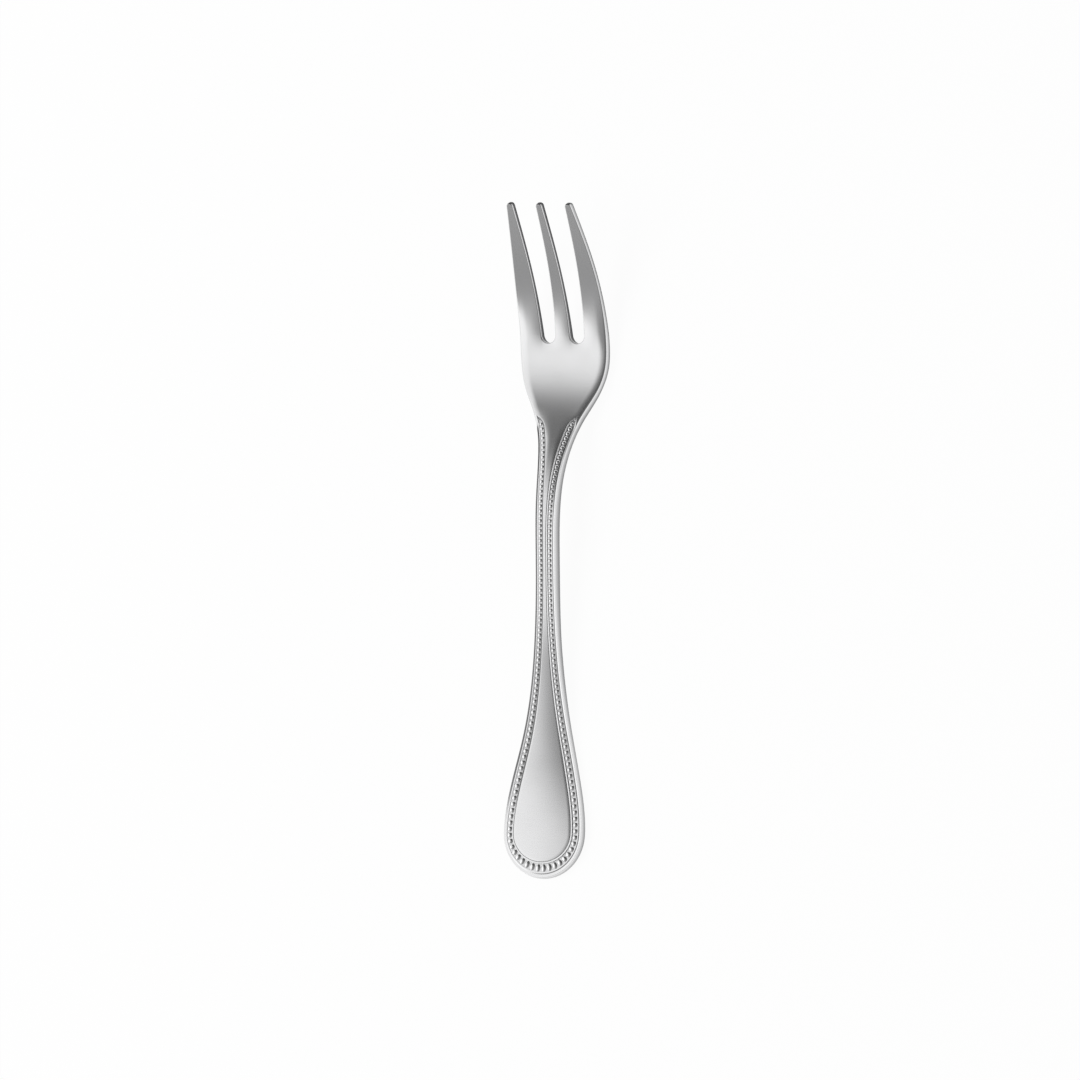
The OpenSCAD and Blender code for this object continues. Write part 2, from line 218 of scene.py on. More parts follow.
class Finish(bpy.types.PropertyGroup):
    """Colours and polish of the steel, with lighter copies of it as painted highlights on the rim, threads
    and beads.
    """

    steel: colour("Steel", "Colour of the polished steel", (0.72, 0.72, 0.725))
    # Lighter copies of the steel: painted highlights on the rim, the threads and the beads
    border_steel: colour("Border steel", "Colour of the rim and the threads", (0.8, 0.8, 0.805))
    bead_steel: colour("Bead steel", "Colour of the beads", (0.9, 0.9, 0.905))
    steel_roughness: share("Steel roughness", "Roughness of the polished faces", 0.17)
    border_roughness: share("Border roughness", "Roughness of the rim and the threads", 0.17)
    bead_roughness: share("Bead roughness", "Roughness of the beads", 0.2)


class Stage(bpy.types.PropertyGroup):
    """Floor, light and camera."""

    floor_colour: colour("Floor", "Colour of the floor", (0.9, 0.9, 0.9))
    floor_glow: share("Floor glow", "Share of plain white that camera and steel see in the floor", 0.95)
    view_tilt: angle("View tilt", "Camera to the right of straight above", 30.994)
    view_lean: angle("View lean", "Camera towards the tines", -1.825)
    view_roll: angle("View roll", "Turn of the picture", 2.63)
    view_distance: length("View distance", "Camera to the middle of the fork", 3.0)
    aim_height: length("Aim height", "Height of the point that the camera is set from", 0.005)
    picture_width: length("Picture width", "Width that the picture covers at the fork", 0.24835)
    offset_right: length("Offset right", "Middle of the fork right of the picture's middle", 0.00207)
    offset_down: length("Offset down", "Middle of the fork below the picture's middle", 0.000355)


# Curves along the fork

# Where the bowl rests and where it is widest, as shares of the way through it
REST_SHARE = 0.62
WIDEST_SHARE = 0.95
# Shares of the lift of the edges that are left from the stem to the shoulder, and at the tine roots
STEM_LIFT = 0.125
ROOT_LIFT = 0.8
# Underside: power of its superellipse, flat share of its half width, and rise of its edges as a share of
# the thickness, each followed by its changes along the stem and in the head
UNDER_POWER = 5.0
STEM_POWER_DROP = 2.6
HEAD_POWER_DROP = 2.8
UNDER_FLAT = 0.42
HEAD_FLAT = 0.18
UNDER_RISE = 0.1
STEM_RISE = 0.22
# How far the change from the bowl's rounding to the tines' has come at the roots, as a share of its length
ROLL_AHEAD = 0.2


def ease(t):
    """Smooth step from 0 to 1."""
    t = np.clip(t, 0.0, 1.0)
    return t * t * (3.0 - 2.0 * t)


class Spline:
    """Cubic curve through points, level at the first, straight at the last and smoothly bent between."""

    def __init__(self, points):
        """Solves for the bending at each point that gives neighbouring spans the same slope there."""
        self.s, self.v = np.array(points, float).T
        self.h = np.diff(self.s)
        rise = np.diff(self.v) / self.h
        count = len(self.s)
        rows, target = np.zeros((count, count)), np.zeros(count)
        inner = np.arange(1, count - 1)
        rows[0, :2], target[0] = (2.0 * self.h[0], self.h[0]), 6.0 * rise[0]
        rows[inner, inner - 1] = self.h[:-1]
        rows[inner, inner] = 2.0 * (self.h[:-1] + self.h[1:])
        rows[inner, inner + 1] = self.h[1:]
        target[inner] = 6.0 * np.diff(rise)
        rows[-1, -1] = 1.0
        self.bend = np.linalg.solve(rows, target)

    def _span(self, s):
        """Number of the span that holds a station, and the weights of its two ends there."""
        s = np.asarray(s, float)
        i = np.clip(np.searchsorted(self.s, s, side="right") - 1, 0, len(self.h) - 1)
        b = (s - self.s[i]) / self.h[i]
        return i, 1.0 - b, b

    def __call__(self, s):
        """Straight line between two points, and the swelling that the bending at both of them gives."""
        i, a, b = self._span(s)
        swell = (a ** 3 - a) * self.bend[i] + (b ** 3 - b) * self.bend[i + 1]
        return a * self.v[i] + b * self.v[i + 1] + swell * self.h[i] ** 2 / 6.0

    def slope(self, s):
        """Rise per metre, the derivative of that curve."""
        i, a, b = self._span(s)
        swell = (1.0 - 3.0 * a * a) * self.bend[i] + (3.0 * b * b - 1.0) * self.bend[i + 1]
        return (self.v[i + 1] - self.v[i]) / self.h[i] + swell * self.h[i] / 6.0


class Fork:
    """The curves that the pieces share, worked out from the sizes."""

    def __init__(self, scene):
        """Sets each curve through a few stations, and the insets of the border."""
        self.size, self.tine, self.border = scene.fork_sizes, scene.tine_sizes, scene.border_sizes
        size, border = self.size, self.border
        self.end, self.stem, self.neck = size.end_station, size.stem_station, size.neck_station
        self.shoulder, self.root, self.tip = size.shoulder_station, size.root_station, size.fork_length
        flare, neck, bowl = self.stem - self.end, self.shoulder - self.neck, self.root - self.shoulder
        stem_mid, tine_mid = (self.stem + self.neck) / 2, (self.root + self.tip) / 2
        self.rest = self.shoulder + REST_SHARE * bowl
        self.half = Spline([
            (self.end, size.handle_width / 2),
            (self.end + flare / 4, size.flare_low_width / 2),
            (self.end + flare / 2, size.flare_mid_width / 2),
            (self.stem, size.stem_end_width / 2),
            (stem_mid, size.stem_width / 2),
            (self.neck, size.stem_end_width / 2),
            (self.neck + neck * 2 / 3, size.neck_width / 2),
            (self.shoulder, size.shoulder_width / 2),
            (self.shoulder + bowl / 3, size.bowl_entry_width / 2),
            (self.shoulder + WIDEST_SHARE * bowl, size.head_width / 2),
            (tine_mid, size.tine_mid_spread / 2),
            (self.tip, size.tip_spread / 2),
        ])
        self.thick = Spline([
            (size.flat_station, size.handle_thickness),
            (self.stem, size.stem_thickness),
            (self.neck, size.stem_thickness),
            (self.shoulder, size.shoulder_thickness),
            (self.rest, size.bowl_thickness),
            (self.root, size.root_thickness),
            (self.tip, size.tip_thickness),
        ])
        tops = [
            (self.end + flare * 2 / 3, size.flare_top),
            (self.stem, size.stem_low_top),
            (stem_mid, size.stem_mid_top),
            (self.neck, size.stem_high_top),
            (self.neck + neck / 3, size.neck_top),
            (self.shoulder, size.shoulder_top),
            (self.root, size.root_top),
            (tine_mid, size.tine_mid_top),
            (self.tip, size.tip_top),
        ]
        unders = [(s, top - float(self.thickness(s))) for s, top in tops]
        self.belly = Spline(sorted([(size.flat_station, 0.0), (self.rest, -size.rest_depth)] + unders))
        self.lift = Spline([
            (self.end, -size.panel_fall),
            (self.stem, -size.panel_fall * STEM_LIFT),
            (self.neck, -size.panel_fall * STEM_LIFT),
            (self.shoulder, size.bowl_lift * STEM_LIFT),
            (self.rest, size.bowl_lift),
            (self.root, size.bowl_lift * ROOT_LIFT),
            (self.tip, 0.0),
        ])
        self.bead_inset = border.rim_width + border.rim_gap + border.bead_diameter / 2
        self.border_width = (
            self.bead_inset + border.bead_diameter / 2 + border.thread_gap + border.thread_width
        )
        self.stem_share = (size.stem_width - border.stem_panel_width) / (2 * self.border_width)
        self.closing_start = self.shoulder - border.closing_length

    def y(self, s):
        """Place in the frame of a station."""
        return s + cad_low.y

    def thickness(self, s):
        """Thickness along the middle line, even on the flat part of the handle."""
        return np.where(s < self.size.flat_station, self.size.handle_thickness, self.thick(s))

    def under(self, s):
        """Underside along the middle line, level on the flat part of the handle."""
        return np.where(s < self.size.flat_station, 0.0, self.belly(s))

    def top(self, s):
        """Top along the middle line: the underside and the thickness together."""
        return self.under(s) + self.thickness(s)

    def top_slope(self, s):
        """Rise of that top per metre."""
        flat = s < self.size.flat_station
        return np.where(flat, 0.0, self.belly.slope(s) + self.thick.slope(s))

    def top_at(self, x, s):
        """Top at a distance from the middle line: the edges are lifted with the square of that distance, the
        panel is crowned along the neck with its fourth power, and the head falls gently to its edges."""
        edge = self.crown_x(s)
        crown = self.neck_bend(s) * edge ** 2 / 4 * (np.minimum(np.abs(x), self.panel_x(s)) / edge) ** 4
        return self.top(s) + self.lift(s) * (x / self.half(s)) ** 2 - crown - self.soft_edge(x, s)

    def neck_bend(self, s):
        """Bending of an even crown on the neck, gone where the stem begins and a little way into the bowl."""
        border = self.border
        come = ease((s - self.stem) / (self.neck - self.stem))
        return come * ease((self.shoulder + border.crown_end - s) / border.crown_run) / border.crown_radius

    def crown_x(self, s):
        """Where the panel slopes as that crown does: its edge along the neck, the outer edge in the bowl."""
        closing = ease((self.shoulder - s) / self.border.crown_spread)
        return self.border_x(s, self.border_width * closing)

    def stem_weight(self, s):
        """1 along the stem, 0 on the flat handle and in the bowl."""
        flat = self.size.flat_station
        return ease((s - flat) / (self.stem - flat)) * ease((self.rest - s) / (self.rest - self.neck))

    def under_at(self, u, s):
        """Underside at a share u of the half width: flat in the middle, turned up at the edge as a
        superellipse. In the head it turns up further, until the thickness of the head's edge is left."""
        weight, thick = self.stem_weight(s), self.thickness(s)
        head = ease((s - self.shoulder) / self.tine.roll_growth)
        power = UNDER_POWER - STEM_POWER_DROP * weight - HEAD_POWER_DROP * head
        flat = UNDER_FLAT * (1.0 - weight) + HEAD_FLAT * head
        outer = np.clip((u - flat) / (1.0 - flat), 0.0, 1.0)
        turn = 1.0 - np.maximum(0.0, 1.0 - outer ** power) ** (1.0 / power)
        rise = thick * (UNDER_RISE + STEM_RISE * weight)
        rise = rise + (np.maximum(rise, thick - self.size.head_edge) - rise) * head
        return self.under(s) + np.maximum(0.0, self.lift(s)) * u * u + rise * turn

    def share(self, s):
        """Size of the border against its size at the handle's end, eased along the flare."""
        return self.stem_share + (1.0 - self.stem_share) * ease((self.stem - s) / (self.stem - self.end))

    def stretch(self, s):
        """Length of the outline's edge for each metre along the fork."""
        return np.sqrt(1.0 + self.half.slope(s) ** 2)

    def border_x(self, s, inset):
        """Distance from the middle line of a line that lies inset from the outer edge."""
        return self.half(s) - inset * self.share(s) * self.stretch(s)

    def panel_x(self, s):
        """Edge of the smooth panel, which swings out to the rim in a quarter ellipse at the border's end."""
        c = np.clip((s - self.closing_start) / self.border.closing_length, 0.0, 1.0)
        inset = np.maximum(self.border.rim_width, self.border_width * np.sqrt(1.0 - c * c))
        return self.border_x(s, inset)

    def floor_z(self, s):
        """Floor of the border, a depth below the panel's edge."""
        return self.top_at(self.panel_x(s), s) - self.border.depth

    def bulge(self, s):
        """Swelling of the side walls, gone where the bowl begins."""
        return self.border.wall_bulge * self.share(s) * ease((self.shoulder - s) / (2 * self.border.rim_fade))

    def middle_edge(self, s):
        """Half width of the middle tine, which tapers evenly to its tip."""
        way = (s - self.root) / (self.tip - self.root)
        return (self.tine.middle_root_width + (self.tine.tip_width - self.tine.middle_root_width) * way) / 2

    def inner_edge(self, s):
        """Inner edge of a side tine, a straight line from its root to its tip."""
        way = (s - self.root) / (self.tip - self.root)
        start = self.tine.middle_root_width / 2 + self.tine.slot_width
        return start + (self.size.tip_spread / 2 - self.tine.tip_width - start) * way

    def crown(self, x, s):
        """Fall of the crowned tines: a parabola over each tine, joined by a valley below each slot."""
        x, tines = np.abs(x), np.maximum(s, self.root)
        a, b, half = self.middle_edge(tines), self.inner_edge(tines), self.half(s)
        slope = math.tan(self.tine.crown)
        inner_fall, outer_fall = slope * a / 2, slope * (half - b) / 4
        t = (x - a) / (b - a)
        valley = inner_fall + (outer_fall - inner_fall) * t + slope * (b - a) * t * (1.0 - t)
        side = outer_fall * (2.0 * (x - b) / (half - b) - 1.0) ** 2
        fall = np.where(x < a, inner_fall * (x / a) ** 2, np.where(x < b, valley, side))
        fade = ease(1.0 - (s - self.root) / self.tine.crown_fade)
        return fall * fade * ease((s - self.root + self.tine.crown_start) / self.tine.crown_growth)

    def soft_edge(self, x, s):
        """Gentle fall towards the head's outer edges, with the square of the way through its width."""
        tine = self.tine
        way = np.clip(1.0 - (self.half(s) - np.abs(x)) / tine.soft_width, 0.0, 1.0)
        come = ease((s - self.shoulder + tine.soft_start) / tine.roll_growth)
        go = ease(1.0 - (s - self.root) / tine.tine_growth)
        return tine.soft_fall * way * way * come * go

    def roll(self, s, start):
        """Rounding of the head's outer edges: its size at the shoulder, then the bowl's, then the tines'."""
        tine = self.tine
        bowl = start + (tine.edge_roll - start) * ease((s - self.shoulder) / tine.roll_growth)
        return bowl + (tine.tine_roll - bowl) * ease((s - self.root) / tine.tine_growth + ROLL_AHEAD)

    def roll_width(self, s):
        """Width of that rounding, which starts as wide as the rim."""
        return self.roll(s, self.half(self.shoulder) - self.border_x(self.shoulder, self.border.rim_width))

    def roll_height(self, s):
        """Depth of that rounding, which starts as deep as the rim's foot."""
        return self.roll(s, self.border.depth + self.border.rim_drop - self.border.sink)

    def lean(self, s):
        """Slope of the handle's top to the right, which comes and goes along the flare."""
        border = self.border
        come, go = (s - border.lean_start) / border.lean_growth, (border.lean_end - s) / border.lean_fade
        return math.tan(border.panel_lean) * ease(come) * ease(go)

    def slant(self, s):
        """Slope of the border away from the panel, which comes near the neck and goes at the border's end."""
        border = self.border
        come = (s - self.neck + border.slant_start) / border.slant_growth
        return math.tan(border.slant) * ease(come) * ease((self.shoulder - s) / border.closing_length)

    def fall(self, x, s):
        """How far the handle's top lies below a level top at x: by its lean and by the border's slant."""
        return self.lean(s) * x + self.slant(s) * np.maximum(0.0, np.abs(x) - self.panel_x(s))


def rounding(distance, width, height):
    """Fall of a surface near its edge: a quarter ellipse of that width and height."""
    t = np.clip(1.0 - distance / width, 0.0, 1.0)
    return height * (1.0 - np.sqrt(1.0 - t * t))


TURN_COLUMNS = 12
FACE_COLUMNS = 10


def clustered(low, high, low_width, high_width):
    """Places from low to high along the last axis, closer together over the rounding at each end."""
    arc = np.sin(np.linspace(0.0, np.pi / 2, TURN_COLUMNS))
    left = low + low_width * (1.0 - arc[::-1])
    right = high - high_width * (1.0 - arc)
    first, last = left[..., -1:], right[..., :1]
    between = first + (last - first) * np.linspace(0.0, 1.0, FACE_COLUMNS + 2)[1:-1]
    return np.concatenate([left, between, right], axis=-1)


# Meshes

FINISH_NAMES = {
    "polished_steel": "polished faces",
    "border_steel": "rim and thread",
    "bead_steel": "beads",
}


def new_piece(name, points, faces, flat, slot, shade=None, crease=None):
    """A mesh piece from arrays of points and faces, riding on the only body in place of its CAD node.

    Faces are smooth but for the flat ones. An edge is sharp round a flat face and between two points of the
    same crease, which is a number above 0. The shade of a point is painted shade: how far its colour is
    darkened because little light gets to it.
    """
    mesh = bpy.data.meshes.new(name)
    mesh.from_pydata(np.asarray(points, float).reshape(-1, 3).tolist(), [], faces)
    flat = np.asarray(flat, bool)
    mesh.polygons.foreach_set("use_smooth", ~flat)
    count = len(mesh.vertices)
    depth = np.zeros(count) if shade is None else np.asarray(shade, float).ravel()
    mesh.attributes.new("shade", "FLOAT", "POINT").data.foreach_set("value", depth.astype(np.float32))
    sides, borders = np.zeros(len(mesh.polygons), np.int32), np.zeros(len(mesh.loops), np.int32)
    mesh.polygons.foreach_get("loop_total", sides)
    mesh.loops.foreach_get("edge_index", borders)
    sharp = np.zeros(len(mesh.edges), bool)
    sharp[borders[np.repeat(flat, sides)]] = True
    if crease is not None:
        ends = np.zeros(len(mesh.edges) * 2, np.int32)
        mesh.edges.foreach_get("vertices", ends)
        first, second = np.asarray(crease).ravel()[ends].reshape(-1, 2).T
        sharp |= (first > 0) & (first == second)
    mesh.attributes.new("sharp_edge", "BOOLEAN", "EDGE").data.foreach_set("value", sharp)
    mesh.materials.append(bpy.data.materials[FINISH_NAMES[slot]])
    piece = bpy.data.objects.new(name + "_steel", mesh)
    bpy.context.scene.collection.objects.link(piece)
    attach(piece, "root")
    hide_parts(name)


def loft_faces(rows, ring):
    """Quads between closed rings, then a flat face on the first and the last ring."""
    a = (np.arange(rows - 1)[:, None] * ring + np.arange(ring)).ravel()
    b = (np.arange(rows - 1)[:, None] * ring + (np.arange(ring) + 1) % ring).ravel()
    quads = np.stack([a, b, b + ring, a + ring], axis=1).tolist()
    caps = [list(range(ring - 1, -1, -1)), list(range((rows - 1) * ring, rows * ring))]
    return quads + caps, [False] * len(quads) + [True, True]


def loft(name, rings, slot, shade=None, crease=None):
    """A closed solid through rings of points, shaped rows by ring by 3."""
    faces, flat = loft_faces(*rings.shape[:2])
    new_piece(name, rings, faces, flat, slot, shade, crease)


def plate(name, top, bottom, slot, seam, shade):
    """A closed solid between a top and a bottom grid of the same rows and columns, with a painted shade for
    each.

    Walls join their outer lines. A wall quad is flat where seam says that both of its ends lie on a joint
    with the next piece.
    """
    rows, columns = top.shape[:2]
    grid = np.arange(rows * columns).reshape(rows, columns)
    quads = np.stack([grid[:-1, :-1], grid[:-1, 1:], grid[1:, 1:], grid[1:, :-1]], axis=-1).reshape(-1, 4)
    under = quads[:, ::-1] + rows * columns
    line = np.concatenate([grid[0, :-1], grid[:-1, -1], grid[-1, :0:-1], grid[:0:-1, 0]])
    after = np.roll(line, -1)
    walls = np.stack([line, line + rows * columns, after + rows * columns, after], axis=1)
    joint = seam.ravel()[line] & seam.ravel()[after]
    faces = np.concatenate([quads, under, walls]).tolist()
    flat = np.concatenate([np.zeros(len(quads) * 2, bool), joint])
    points = np.concatenate([top.reshape(-1, 3), bottom.reshape(-1, 3)])
    new_piece(name, points, faces, flat, slot, np.stack(shade))


# Tines and bowl

# Painted shade of the walls, the underside, the slots and the tips, which less light gets to: how far
# their colour is darkened
WALL_SHADE = 0.05
FOOT_SHADE = 0.9
UNDER_SHADE = 0.3
SLOT_EDGE_SHADE = 0.85
SLOT_SHADE = 1.14
TIP_SHADE = 1.1
# Share of a tip's rounding that gets painted shade
TIP_SHADE_SHARE = 0.6
# Width in metres of the closer columns along the head's outer edges
EDGE_ZONE = 0.0018
# Most of a tine's width that the rounding of one edge may take
EDGE_ROOM = 0.4
TINE_ROWS = 60
TIP_ROWS = 7


def tine_edges(fork, low, high):
    """Stations of a tine and its two edges at them, which are turned in as quarter circles at the tip."""
    radius = fork.tine.tip_radius
    ahead = radius * (1.0 - np.sin(np.linspace(0.0, np.pi / 2, TIP_ROWS)))
    even = np.linspace(fork.root, fork.tip - radius, TINE_ROWS)
    s = np.concatenate([even, fork.tip - ahead[1:]])[:, None]
    corner = np.maximum(0.0, radius - (fork.tip - s))
    inset = radius - np.sqrt(radius ** 2 - corner ** 2)
    return s, low(s) + inset, high(s) - inset


def build_tine(fork, name, s, low, high):
    """One tine between its edges, which are slots but for the outer edges of the side tines.

    The top falls by its crown, and by a quarter ellipse at each edge and at the tip. Along a slot the
    underside rises by another one. A section leans back by the sine of the tine's slope, which grows from
    none at the root to all at the tip, so that the tip is cut square.
    """
    tine = fork.tine
    room = EDGE_ROOM * (high - low)
    under_width, edge_width = np.minimum(tine.slot_under, room), np.minimum(EDGE_ZONE, room)
    under_height = tine.slot_round * fork.thickness(s) * under_width / tine.slot_under
    low_outer, high_outer = name == "tine_left", name == "tine_right"
    low_width, high_width = (edge_width if outer else under_width for outer in (low_outer, high_outer))
    x = clustered(low, high, low_width, high_width)
    blunt = rounding(fork.tip - s, tine.tip_ease, tine.tip_ease)
    top = fork.top_at(x, s) - fork.crown(x, s) - blunt
    bottom = fork.under_at(np.abs(x) / fork.half(s), s) + blunt
    # Painted shade: darker colour on the walls and their feet, the underside, along the slots and at the tip
    top_shade, bottom_shade = np.zeros(x.shape), np.full(x.shape, UNDER_SHADE)
    for distance, column, outer in ((x - low, 0, low_outer), (high - x, -1, high_outer)):
        if outer:
            width = np.minimum(fork.roll_width(s), room)
            top = top - rounding(distance, width, np.minimum(fork.roll_height(s), room))
            top_shade[:, column], bottom_shade[:, column] = WALL_SHADE, FOOT_SHADE
        else:
            width = np.minimum(tine.slot_ease, room)
            top = top - rounding(distance, width, width)
            bottom = bottom + rounding(distance, under_width, under_height)
            top_shade[:, column] = SLOT_EDGE_SHADE
            bottom_shade = np.where(distance < under_width, SLOT_SHADE, bottom_shade)
    at_tip = fork.tip - s < TIP_SHADE_SHARE * tine.tip_ease
    shades = tuple(np.where(at_tip, TIP_SHADE, shade) for shade in (top_shade, bottom_shade))
    slope = fork.top_slope(s)
    lean = slope / np.sqrt(1.0 + slope ** 2) * (s - fork.root) / (fork.tip - fork.root)
    upper, lower = (
        np.stack([x, fork.y(s) - lean * (z - fork.under(s)), z], axis=-1) for z in (top, bottom)
    )
    seam = np.zeros(x.shape, bool)
    seam[0] = True
    plate(name, upper, lower, "polished_steel", seam, shades)


def build_tines(fork):
    """Left, middle and right tine."""
    edges = {
        "tine_left": (lambda s: -fork.half(s), lambda s: -fork.inner_edge(s)),
        "tine_middle": (lambda s: -fork.middle_edge(s), fork.middle_edge),
        "tine_right": (fork.inner_edge, fork.half),
    }
    for name, (low, high) in edges.items():
        build_tine(fork, name, *tine_edges(fork, low, high))


BOWL_ROWS = 48
SLOT_ROWS = 10
ARC_STEPS = 24
# Distance in metres below which a point counts as lying on the slot's edge or on a joint
ON_EDGE = 1e-9


def build_bowl(fork):
    """Bowl whose far edge runs along the tine roots and round the ends of both slots.

    Columns start spread over the shoulder and end on that edge: a column keeps its share of the half width,
    and a row its share of the way up to the roundings of the slots. The top falls by a quarter ellipse at the
    outer edges and round the slots, where the underside rises by another one.
    """
    tine = fork.tine
    radius = tine.slot_width / 2
    slot_x = tine.middle_root_width / 2 + radius
    outer = float(fork.half(fork.root))
    land = clustered(slot_x + radius, outer, tine.slot_under, EDGE_ZONE)
    middle = clustered(-(slot_x - radius), slot_x - radius, tine.slot_under, tine.slot_under)
    turn = np.linspace(np.pi, 0.0, ARC_STEPS + 1)[1:-1]
    arc_x, arc_s = radius * np.cos(turn), fork.root - radius * np.sin(turn)
    end_x = np.concatenate([-land[::-1], arc_x - slot_x, middle, arc_x + slot_x, land])
    flat_land, flat_middle = np.full(len(land), fork.root), np.full(len(middle), fork.root)
    end_s = np.concatenate([flat_land, arc_s, flat_middle, arc_s, flat_land])
    shares = end_x / fork.half(end_s)
    ahead = tine.slot_under * (1.0 - np.sin(np.linspace(0.0, np.pi / 2, SLOT_ROWS)))
    way = np.linspace(0.0, 1.0, BOWL_ROWS)[:, None]
    s = fork.shoulder + way * (end_s - tine.slot_under - fork.shoulder)
    s = np.concatenate([s, end_s - ahead[1:, None]])
    half = fork.half(s)
    x = shares * half
    hole = np.minimum(np.hypot(x - slot_x, s - fork.root), np.hypot(x + slot_x, s - fork.root)) - radius
    edge_fall = rounding(half - np.abs(x), fork.roll_width(s), fork.roll_height(s))
    top = fork.top_at(x, s) - fork.crown(x, s) - edge_fall - rounding(hole, tine.slot_ease, tine.slot_ease)
    slot_rise = rounding(hole, tine.slot_under, tine.slot_round * fork.thickness(s))
    bottom = np.maximum(0.0, fork.under_at(np.abs(x) / half, s) + slot_rise)
    upper = np.stack([x, fork.y(s), top], axis=-1)
    lower = np.stack([x, fork.y(s), bottom], axis=-1)
    seam = np.zeros(x.shape, bool)
    seam[0] = True
    seam[-1] = end_s > fork.root - ON_EDGE
    # Painted shade: darker colour on the underside, round the slots and on the outer walls and their feet
    top_shade, bottom_shade = np.zeros(x.shape), np.where(hole < tine.slot_under, SLOT_SHADE, UNDER_SHADE)
    top_shade[:, [0, -1]], bottom_shade[:, [0, -1]] = WALL_SHADE, FOOT_SHADE
    top_shade[-1, hole[-1] < ON_EDGE] = SLOT_EDGE_SHADE
    plate("bowl", upper, lower, "polished_steel", seam, (top_shade, bottom_shade))


# Neck, stem and handle

PANEL_COLUMNS = 12
# Rounding of the panel's edge: its first angle in degrees, and its columns
ROUND_START = 15.0
ROUND_COLUMNS = 6
WALL_ROWS = 6
# Painted shade of the border's floor and the rim's seat
GROOVE_SHADE = 0.05
# Places of the underside's points as shares of its half width, closer together near the edge
UNDER_SHARES = np.array([0.988, 0.965, 0.93, 0.88, 0.8, 0.7, 0.56, 0.42, 0.2, 0.0])


def blank_half(fork, s):
    """Right half of a section: crowned panel, rounded panel edge, border floor, seat of the rim, swelling
    wall and underside. The edge is part of a circle, and the wall a parabola.

    Returns x and z shaped stations by points, the painted shade of each point, the creases along the
    border's floor and the rim's seat, and how far each point goes with the fall of the top.
    """
    s = np.asarray(s, float)[:, None]
    border = fork.border
    panel, floor, half = fork.panel_x(s), fork.floor_z(s), fork.half(s)
    soft = border.panel_round * fork.share(s)
    crown = np.linspace(0.0, 1.0, PANEL_COLUMNS)[None, :]
    turn = np.radians(np.linspace(ROUND_START, 90.0, ROUND_COLUMNS))[None, :]
    edge_z = fork.top_at(panel - soft, s)
    wall_x, seat = half - fork.bulge(s), floor - border.rim_drop
    step_x = fork.border_x(s, border.rim_width) + border.sink
    down = np.linspace(0.0, 1.0, WALL_ROWS + 1)[None, 1:]
    low = fork.under_at(np.ones_like(s), s)
    x = np.concatenate(np.broadcast_arrays(*[
        *np.split((panel - soft) * crown, crown.size, axis=1),
        *np.split(panel - soft * (1.0 - np.sin(turn)), turn.size, axis=1),
        panel, step_x, step_x, wall_x,
        *np.split(half - fork.bulge(s) * (2.0 * down - 1.0) ** 2, down.size, axis=1),
        *np.split(wall_x * UNDER_SHARES[None, :], UNDER_SHARES.size, axis=1),
    ]), axis=1)
    panel_z = fork.top_at((panel - soft) * crown, s)
    under_z = fork.under_at(UNDER_SHARES[None, :], s)
    z = np.concatenate([
        panel_z, edge_z - soft * (1.0 - np.cos(turn)), floor, floor, seat, seat,
        seat + (low - seat) * down, under_z,
    ], axis=1)
    corner = crown.size + turn.size
    shade, top_part, crease = np.zeros((3, *x.shape))
    wall = corner + 3
    # Painted shade: the border's floor and the rim's seat, darker down the wall, and the underside
    shade[:, corner:wall] = GROOVE_SHADE
    shade[:, wall:wall + 1 + WALL_ROWS] = np.linspace(WALL_SHADE, FOOT_SHADE, WALL_ROWS + 1)
    shade[:, wall + 1 + WALL_ROWS:] = UNDER_SHADE
    top_part[:, :wall] = 1.0
    top_part[:, wall:wall + 1 + WALL_ROWS] = np.linspace(1.0, 0.0, WALL_ROWS + 1)
    crease[:, corner:wall + 1] = np.arange(1, 5)
    return x, z, shade, crease, top_part


def both_halves(right, sign):
    """Right half of a ring followed by its mirror image, without the two points on the middle line."""
    return np.concatenate([right, sign * right[:, -2:0:-1]], axis=1)


def build_blank(fork, name, s):
    """One length of the handle: a ring of the section at each station, with the fall of its top."""
    x, z, shade, crease, top_part = blank_half(fork, s)
    x = both_halves(x, -1.0)
    z, shade, crease, top_part = (both_halves(part, 1.0) for part in (z, shade, crease, top_part))
    z = z - fork.fall(x, s[:, None]) * top_part
    y = np.broadcast_to(fork.y(s)[:, None], x.shape)
    loft(name, np.stack([x, y, z], axis=-1), "polished_steel", shade, crease)


END_STEPS = 72
END_TURN = np.linspace(0.0, np.pi, END_STEPS + 1)


def end_place(fork, x):
    """How far a section's points move in at the very end, where rim and beads are wider than at the sides."""
    radius, border = fork.size.handle_width / 2, fork.border
    places = [0.0, radius - fork.border_width, radius - border.rim_width, radius]
    return np.interp(x, places, [0.0, border.end_rim + border.end_beads, border.end_rim, 0.0])


def half_turn(fork, x, z, top_part=1.0):
    """Points of a profile swept half round the middle of the handle's end, from the right side to the left,
    with the lean that the top has there."""
    turn = END_TURN[:, None]
    across, away = x * np.cos(turn), x - end_place(fork, x)
    z = z - fork.lean(fork.end) * across * top_part
    return np.stack(np.broadcast_arrays(across, fork.y(fork.end) - away * np.sin(turn), z), axis=-1)


